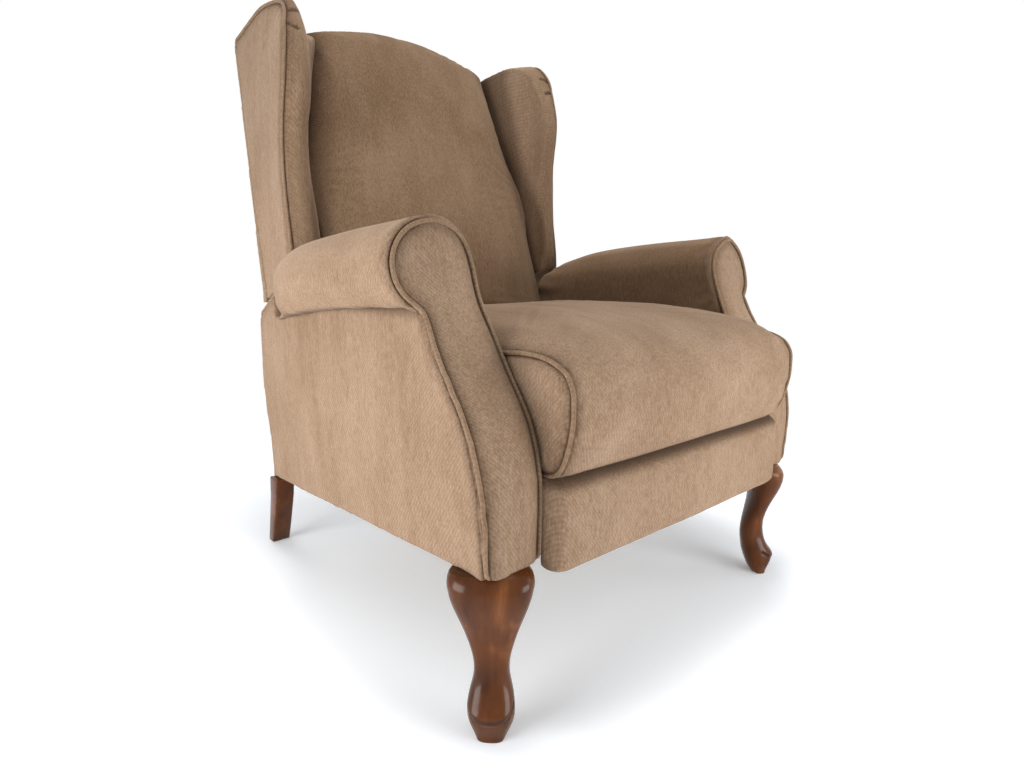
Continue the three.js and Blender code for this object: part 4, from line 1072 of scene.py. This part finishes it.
def wing(side):
    s = sideOf(side)
    obj = copyOf("wing_pad_" + side, "wing" + side.title())
    rearEdge, lowEdge = wings["rearEdge"], wings["lowEdge"]

    def atRear(place):
        edge = rearEdge["y"] + rearEdge["lean"] * (place.z - rearEdge["z"])
        return place.y > edge - rearEdge["margin"]

    def atFoot(place):
        return place.z < lowEdge["z"] - lowEdge["slope"] * (place.y - lowEdge["y"])

    def onBorder(e):
        n = [s * f.normal.x for f in e.link_faces]
        least, most = wings["outwardFaces"]
        ends = [v.co for v in e.verts]
        outer = all(s * p.x > wings["outer"] for p in ends)
        skipped = all(map(atRear, ends)) or all(map(atFoot, ends))
        return max(n) > most and min(n) < least and outer and not skipped

    x, y, z = wings["start"]
    outline = edgeChain(obj, onBorder, (s * x, y, z))

    # the top arches up behind the apex
    def lift(y):
        arch = wings["archShare"][side] * np.interp(y, *wings["arch"])
        return arch - wings["settle"][side] * fade(y, *wings["settleDepths"])

    def tuck(x, y, z):
        edge = smoothstep(np.abs(x), *wings["tuckSides"]) * fade(y, *wings["tuckDepths"])
        rise, end = wings["tuckHeights"]
        return -s * wings["tuck"][side] * edge * smoothstep(z, *rise) * fade(z, *end)

    # the front border turns over at the top as a quarter round
    def turnOver(places):
        ridge = np.array(sorted((p.y, p.z) for p in outline if p.z > wings["top"]))
        top = np.interp(places[:, 1], ridge[:, 0], ridge[:, 1])
        start, width = wings["border"]
        inward = np.clip((start - np.abs(places[:, 0])) / width, 0, 1)
        bulge = wings["topFill"][side] * np.sin(math.pi * inward)
        drop = wings["topRound"][side] * quarterRound(inward**4)
        rise = lift(places[:, 1]) + (bulge - drop) * fade(places[:, 1], *wings["turn"][side])
        places[:, 2] += rise * smoothstep(places[:, 2], top - wings["topDepth"], top)
        places[:, 0] += tuck(*places.T)
        start, width = wings["slimSides"]
        slim = np.clip((start - np.abs(places[:, 0])) / width, 0, 1)
        slim *= fade(places[:, 1], *wings["slimDepths"])
        places[:, 0] += s * wings["slim"] * slim * smoothstep(places[:, 2], *wings["slimHeights"])
        return places

    roundOver(obj, wings["voxel"], rounds=5, crease=48, reshape=turnOver)
    outline = [p + Vector((tuck(*p), 0, lift(p.y) * (p.z > wings["top"]))) for p in outline]
    outline = soften(outline)
    corner = outline[-1]
    outline += [corner + Vector(step) for step in wings["rearCorner"]]
    fillOut(obj, outline, wings["fill"][side])
    places = corners(obj)
    swell(obj, wings["grow"] + waves(places, wings["waves"]))
    out = normals(obj)
    # painted shade on the inside face and on the front border
    addLayer(obj, "away", wings["insideShade"] * smoothstep(-s * out[:, 0], *wings["insideFaces"]))
    addLayer(obj, "away", wings["borderShade"] * smoothstep(-out[:, 1], *wings["borderFaces"]))
    reach = np.abs(places[:, 0]) - betweenWings(places)
    inner = smoothstep(-s * out[:, 0], *wings["jointFaces"])
    addLayer(obj, "seam", wings["jointShade"] * inner * fade(reach, *wings["jointReach"]))
    pressSeam(obj, outline, wings["gathers"])
    # the border's cloth is folded over at the top
    for level, reach, slope in wings["folds"]:
        start = min((p for p in outline if p.y < wings["foldsBefore"]), key=lambda p: abs(p.z - level))
        steps = (wings["foldStart"], 0.3 * reach, 0.6 * reach, reach)
        fold = [start + Vector((-s * t, wings["foldSet"], slope * t)) for t in steps]
        fold = [obj.closest_point_on_mesh(p)[1] for p in fold]
        pressSeam(obj, fold, **wings["foldSeam"])
    finishPad(obj, "back", cloth["upright"], 0.85, "wing_pad_" + side)
    addWelt("wingWelt" + side.title(), outline, "back", cloth["upright"], obj, lift=0.0018)


def outsideBack():
    obj = copyOf("outside_back", "outsideBack")
    roundOver(obj, voxel=0.006, rounds=3)
    finishPad(obj, "back", cloth["upright"], 0.9, "outside_back")


cover = {"voxel": 0.003, "waves": {"scale": 9, "seed": 51, "height": 0.0008}}


def lowerCover():
    obj = copyOf("back_lower_cover", "backLowerCover")
    roundOver(obj, cover["voxel"], rounds=1)
    swell(obj, waves(corners(obj), cover["waves"]))
    finishPad(obj, "back", cloth["upright"], 0.95, "back_lower_cover")


backCushion()
for side in sides:
    wing(side)
outsideBack()
lowerCover()
print("back made")

footrest = {
    "voxel": 0.004,
    "grow": 0.0012,
    "topRise": 0.004,
    "topHeights": (0.3, 0.328),
    "corner": {"round": 0.016, "width": 0.03, "height": 0.035},
    "waves": {"scale": 5, "seed": 25, "height": 0.0014},
    "pull": {"stretch": (1, 1, 0.4), "scale": 18, "seed": 23, "height": 0.0008},
    "pullHeights": (0.21, 0.25),
    "topShade": 0.8,
    "shadeHeights": (0.313, 0.328),
}


def footrestPad():
    obj = copyOf("footrest_pad", "footrestPad")
    lowest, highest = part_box("footrest_pad")
    corner = footrest["corner"]

    def roundCorners(places):
        places[:, 2] += footrest["topRise"] * smoothstep(places[:, 2], *footrest["topHeights"])
        aside = np.clip((np.abs(places[:, 0]) - highest.x + corner["width"]) / corner["width"], 0, 1)
        low = fade(places[:, 2], lowest.z, lowest.z + corner["height"])
        places[:, 2] += corner["round"] * quarterRound(aside**2) * low
        return places

    roundOver(obj, footrest["voxel"], rounds=6, crease=50, reshape=roundCorners)
    places = corners(obj)
    pull = waves(places, footrest["pull"]) * fade(places[:, 2], *footrest["pullHeights"])
    swell(obj, footrest["grow"] + waves(places, footrest["waves"]) + pull)
    addLayer(obj, "seam", footrest["topShade"] * smoothstep(places[:, 2], *footrest["shadeHeights"]))
    finishPad(obj, "footrest", cloth["upright"], 0.85, "footrest_pad")


def rearPanel():
    obj = copyOf("base_rear_panel", "rearPanel")
    roundOver(obj, voxel=0.005, rounds=2)
    finishPad(obj, "base", cloth["upright"], 0.9, "base_rear_panel")


footrestPad()
rearPanel()
print("footrest made")


def finishLeg(obj, name):
    obj.data.materials.clear()
    obj.data.materials.append(wood)
    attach(obj, "base")
    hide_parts(name)


foot = {
    "ridge": 0.033,  # the carved line's height at the front
    "ridgeRise": 0.017,
    "ridgeTurn": 85,
    "ridgeSteps": 5,
    "ridgeReach": 0.045,
    "ridgeBand": (-0.005, 0.001),
    "ridgeFade": (1.2, 1.7),
    "groove": {"sink": 0.0012, "shade": 0.8, "width": 0.005},
    "step": 0.0022,  # how far the foot stands back under the line
    "toe": 0.13,  # how much narrower it is on the floor
}


# the carved line that runs round the front of the foot
def carveFoot(obj, side):
    s = sideOf(side)
    places = corners(obj)
    low = places[places[:, 2] < foot["ridge"]]
    middle = (low.min(axis=0) + low.max(axis=0)) / 2
    forward, across = np.array([[s, -1, 0], [1, s, 0]]) / 2**0.5
    widest, steps = math.radians(foot["ridgeTurn"]), foot["ridgeSteps"]
    line = []
    for step in range(-steps, steps + 1):
        turn = widest * step / steps
        spot = middle + foot["ridgeReach"] * (math.cos(turn) * forward + math.sin(turn) * across)
        spot[2] = foot["ridge"] + foot["ridgeRise"] * (step / steps) ** 2
        line.append(obj.closest_point_on_mesh(Vector(spot))[1])
    flat = places - middle
    turn = np.arctan2(flat @ across, flat @ forward)
    height = foot["ridge"] + foot["ridgeRise"] * (turn / widest) ** 2
    below = fade(places[:, 2] - height, *foot["ridgeBand"]) * fade(np.abs(turn), *foot["ridgeFade"])
    reach = np.linalg.norm(flat[:, :2], axis=1)
    share = foot["step"] * below / np.maximum(reach, foot["step"])
    narrow = foot["toe"] * fade(places[:, 2], 0, foot["ridge"]) * (flat @ across)
    places[:, :2] -= flat[:, :2] * share.reshape(-1, 1) + np.outer(narrow, across[:2])
    moveCorners(obj, places)
    pressSeam(obj, line, **foot["groove"])


knee = {
    "depth": 0.05,
    "shoulder": 0.022,
    "inset": 0.018,
    "insetLimit": 0.3,
    "spread": 0.06,
    "spreadDepths": (0.09, 0.03),
}


def frontLeg(side):
    name = "front_leg_" + side
    obj = copyOf(name, "cabriole" + side.title())
    creaseEdges(obj, 60)
    addModifier(obj, "SUBSURF", levels=3, render_levels=3)
    places = corners(obj)
    top = places[:, 2].max()
    high = places[places[:, 2] > top - knee["depth"]]
    middle = (high.min(axis=0) + high.max(axis=0)) / 2
    share = np.clip((places[:, 2] - top + knee["shoulder"]) / knee["shoulder"], 0, 1)
    flat = (places - middle) * (1, 1, 0)
    reach = np.linalg.norm(flat, axis=1, keepdims=True)
    inset = knee["inset"] * (1 - np.sqrt(1 - share**2)).reshape(-1, 1)
    start, end = knee["spreadDepths"]
    flat *= knee["spread"] * smoothstep(places[:, 2], top - start, top - end).reshape(-1, 1) + 1
    kept = 1 - np.minimum(inset / np.maximum(reach, tiny), knee["insetLimit"])
    places[:, :2] = (middle + flat * kept)[:, :2]
    moveCorners(obj, places)
    carveFoot(obj, side)
    activate(obj)
    bpy.ops.object.shade_smooth()
    finishLeg(obj, name)


rearEdges = {"width": 0.003, "segments": 3, "angle": math.radians(35)}


def rearLeg(side):
    name = "rear_leg_" + side
    obj = copyOf(name, "rakedLeg" + side.title())
    bevel = {"width": rearEdges["width"], "segments": rearEdges["segments"], "limit_method": "ANGLE"}
    addModifier(obj, "BEVEL", angle_limit=rearEdges["angle"], **bevel)
    activate(obj)
    bpy.ops.object.shade_smooth_by_angle(angle=rearEdges["angle"])
    finishLeg(obj, name)


for side in sides:
    frontLeg(side)
    rearLeg(side)
print("legs made")

stage = {
    "size": 16,
    "level": -0.0005,
    "floor": (0.925, 0.955, 0.99),
    "lift": 0.14,  # white added to the floor as it is seen, so that its shadow stays pale
    "fade": (0.8, 1.5),  # metres from the middle where the floor turns to the white around it
    "sky": (0.96, 0.98, 1),
    "skyPower": 0.4,
}


def seenDirectly(paint):
    path = [paint.node("ShaderNodeLightPath", output=i) for i in (0, 3, 6)]
    return path[0].maths("MAXIMUM", path[1]).maths("MAXIMUM", path[2])


def addStage():
    deselect()
    bpy.ops.mesh.primitive_plane_add(size=stage["size"], location=(0, 0, stage["level"]))
    floor = bpy.context.object
    floor.name = "floor"
    paint = Paint("paleFloor")
    x, y, z = paint.axes(paint.place())
    far = ((x * x + y * y) ** 0.5).ramp(*stage["fade"])
    seen = seenDirectly(paint)
    tree = paint.tree
    lit = tree.nodes.new("ShaderNodeBsdfDiffuse")
    lit.inputs[0].default_value = (*stage["floor"], 1)
    glow = tree.nodes.new("ShaderNodeEmission")
    both = tree.nodes.new("ShaderNodeAddShader")
    white = tree.nodes.new("ShaderNodeEmission")
    mix = tree.nodes.new("ShaderNodeMixShader")
    tree.links.new((seen * stage["lift"]).link, glow.inputs[1])
    tree.links.new(lit.outputs[0], both.inputs[0])
    tree.links.new(glow.outputs[0], both.inputs[1])
    tree.links.new((seen * far).link, mix.inputs[0])
    tree.links.new(both.outputs[0], mix.inputs[1])
    tree.links.new(white.outputs[0], mix.inputs[2])
    out = [n for n in tree.nodes if n.type == "OUTPUT_MATERIAL"][0]
    tree.links.new(mix.outputs[0], out.inputs[0])
    tree.nodes.remove(paint.shader)
    floor.data.materials.append(paint.material)

    world = bpy.data.worlds.new("studio")
    bpy.context.scene.world = world
    world.use_nodes = True
    tree = world.node_tree
    tree.nodes.clear()
    out = tree.nodes.new("ShaderNodeOutputWorld")
    sky = tree.nodes.new("ShaderNodeBackground")
    sky.inputs[0].default_value = (*stage["sky"], 1)
    sky.inputs[1].default_value = stage["skyPower"]
    plain = tree.nodes.new("ShaderNodeBackground")
    plain.inputs[0].default_value = (1, 1, 1, 1)
    mix = tree.nodes.new("ShaderNodeMixShader")
    light = Paint.__new__(Paint)
    light.tree = tree
    tree.links.new(seenDirectly(light).link, mix.inputs[0])
    tree.links.new(sky.outputs[0], mix.inputs[1])
    tree.links.new(plain.outputs[0], mix.inputs[2])
    tree.links.new(mix.outputs[0], out.inputs[0])


addStage()
addCamera()
addLamps()
bpy.context.scene.view_settings.view_transform = "Standard"
deselect()
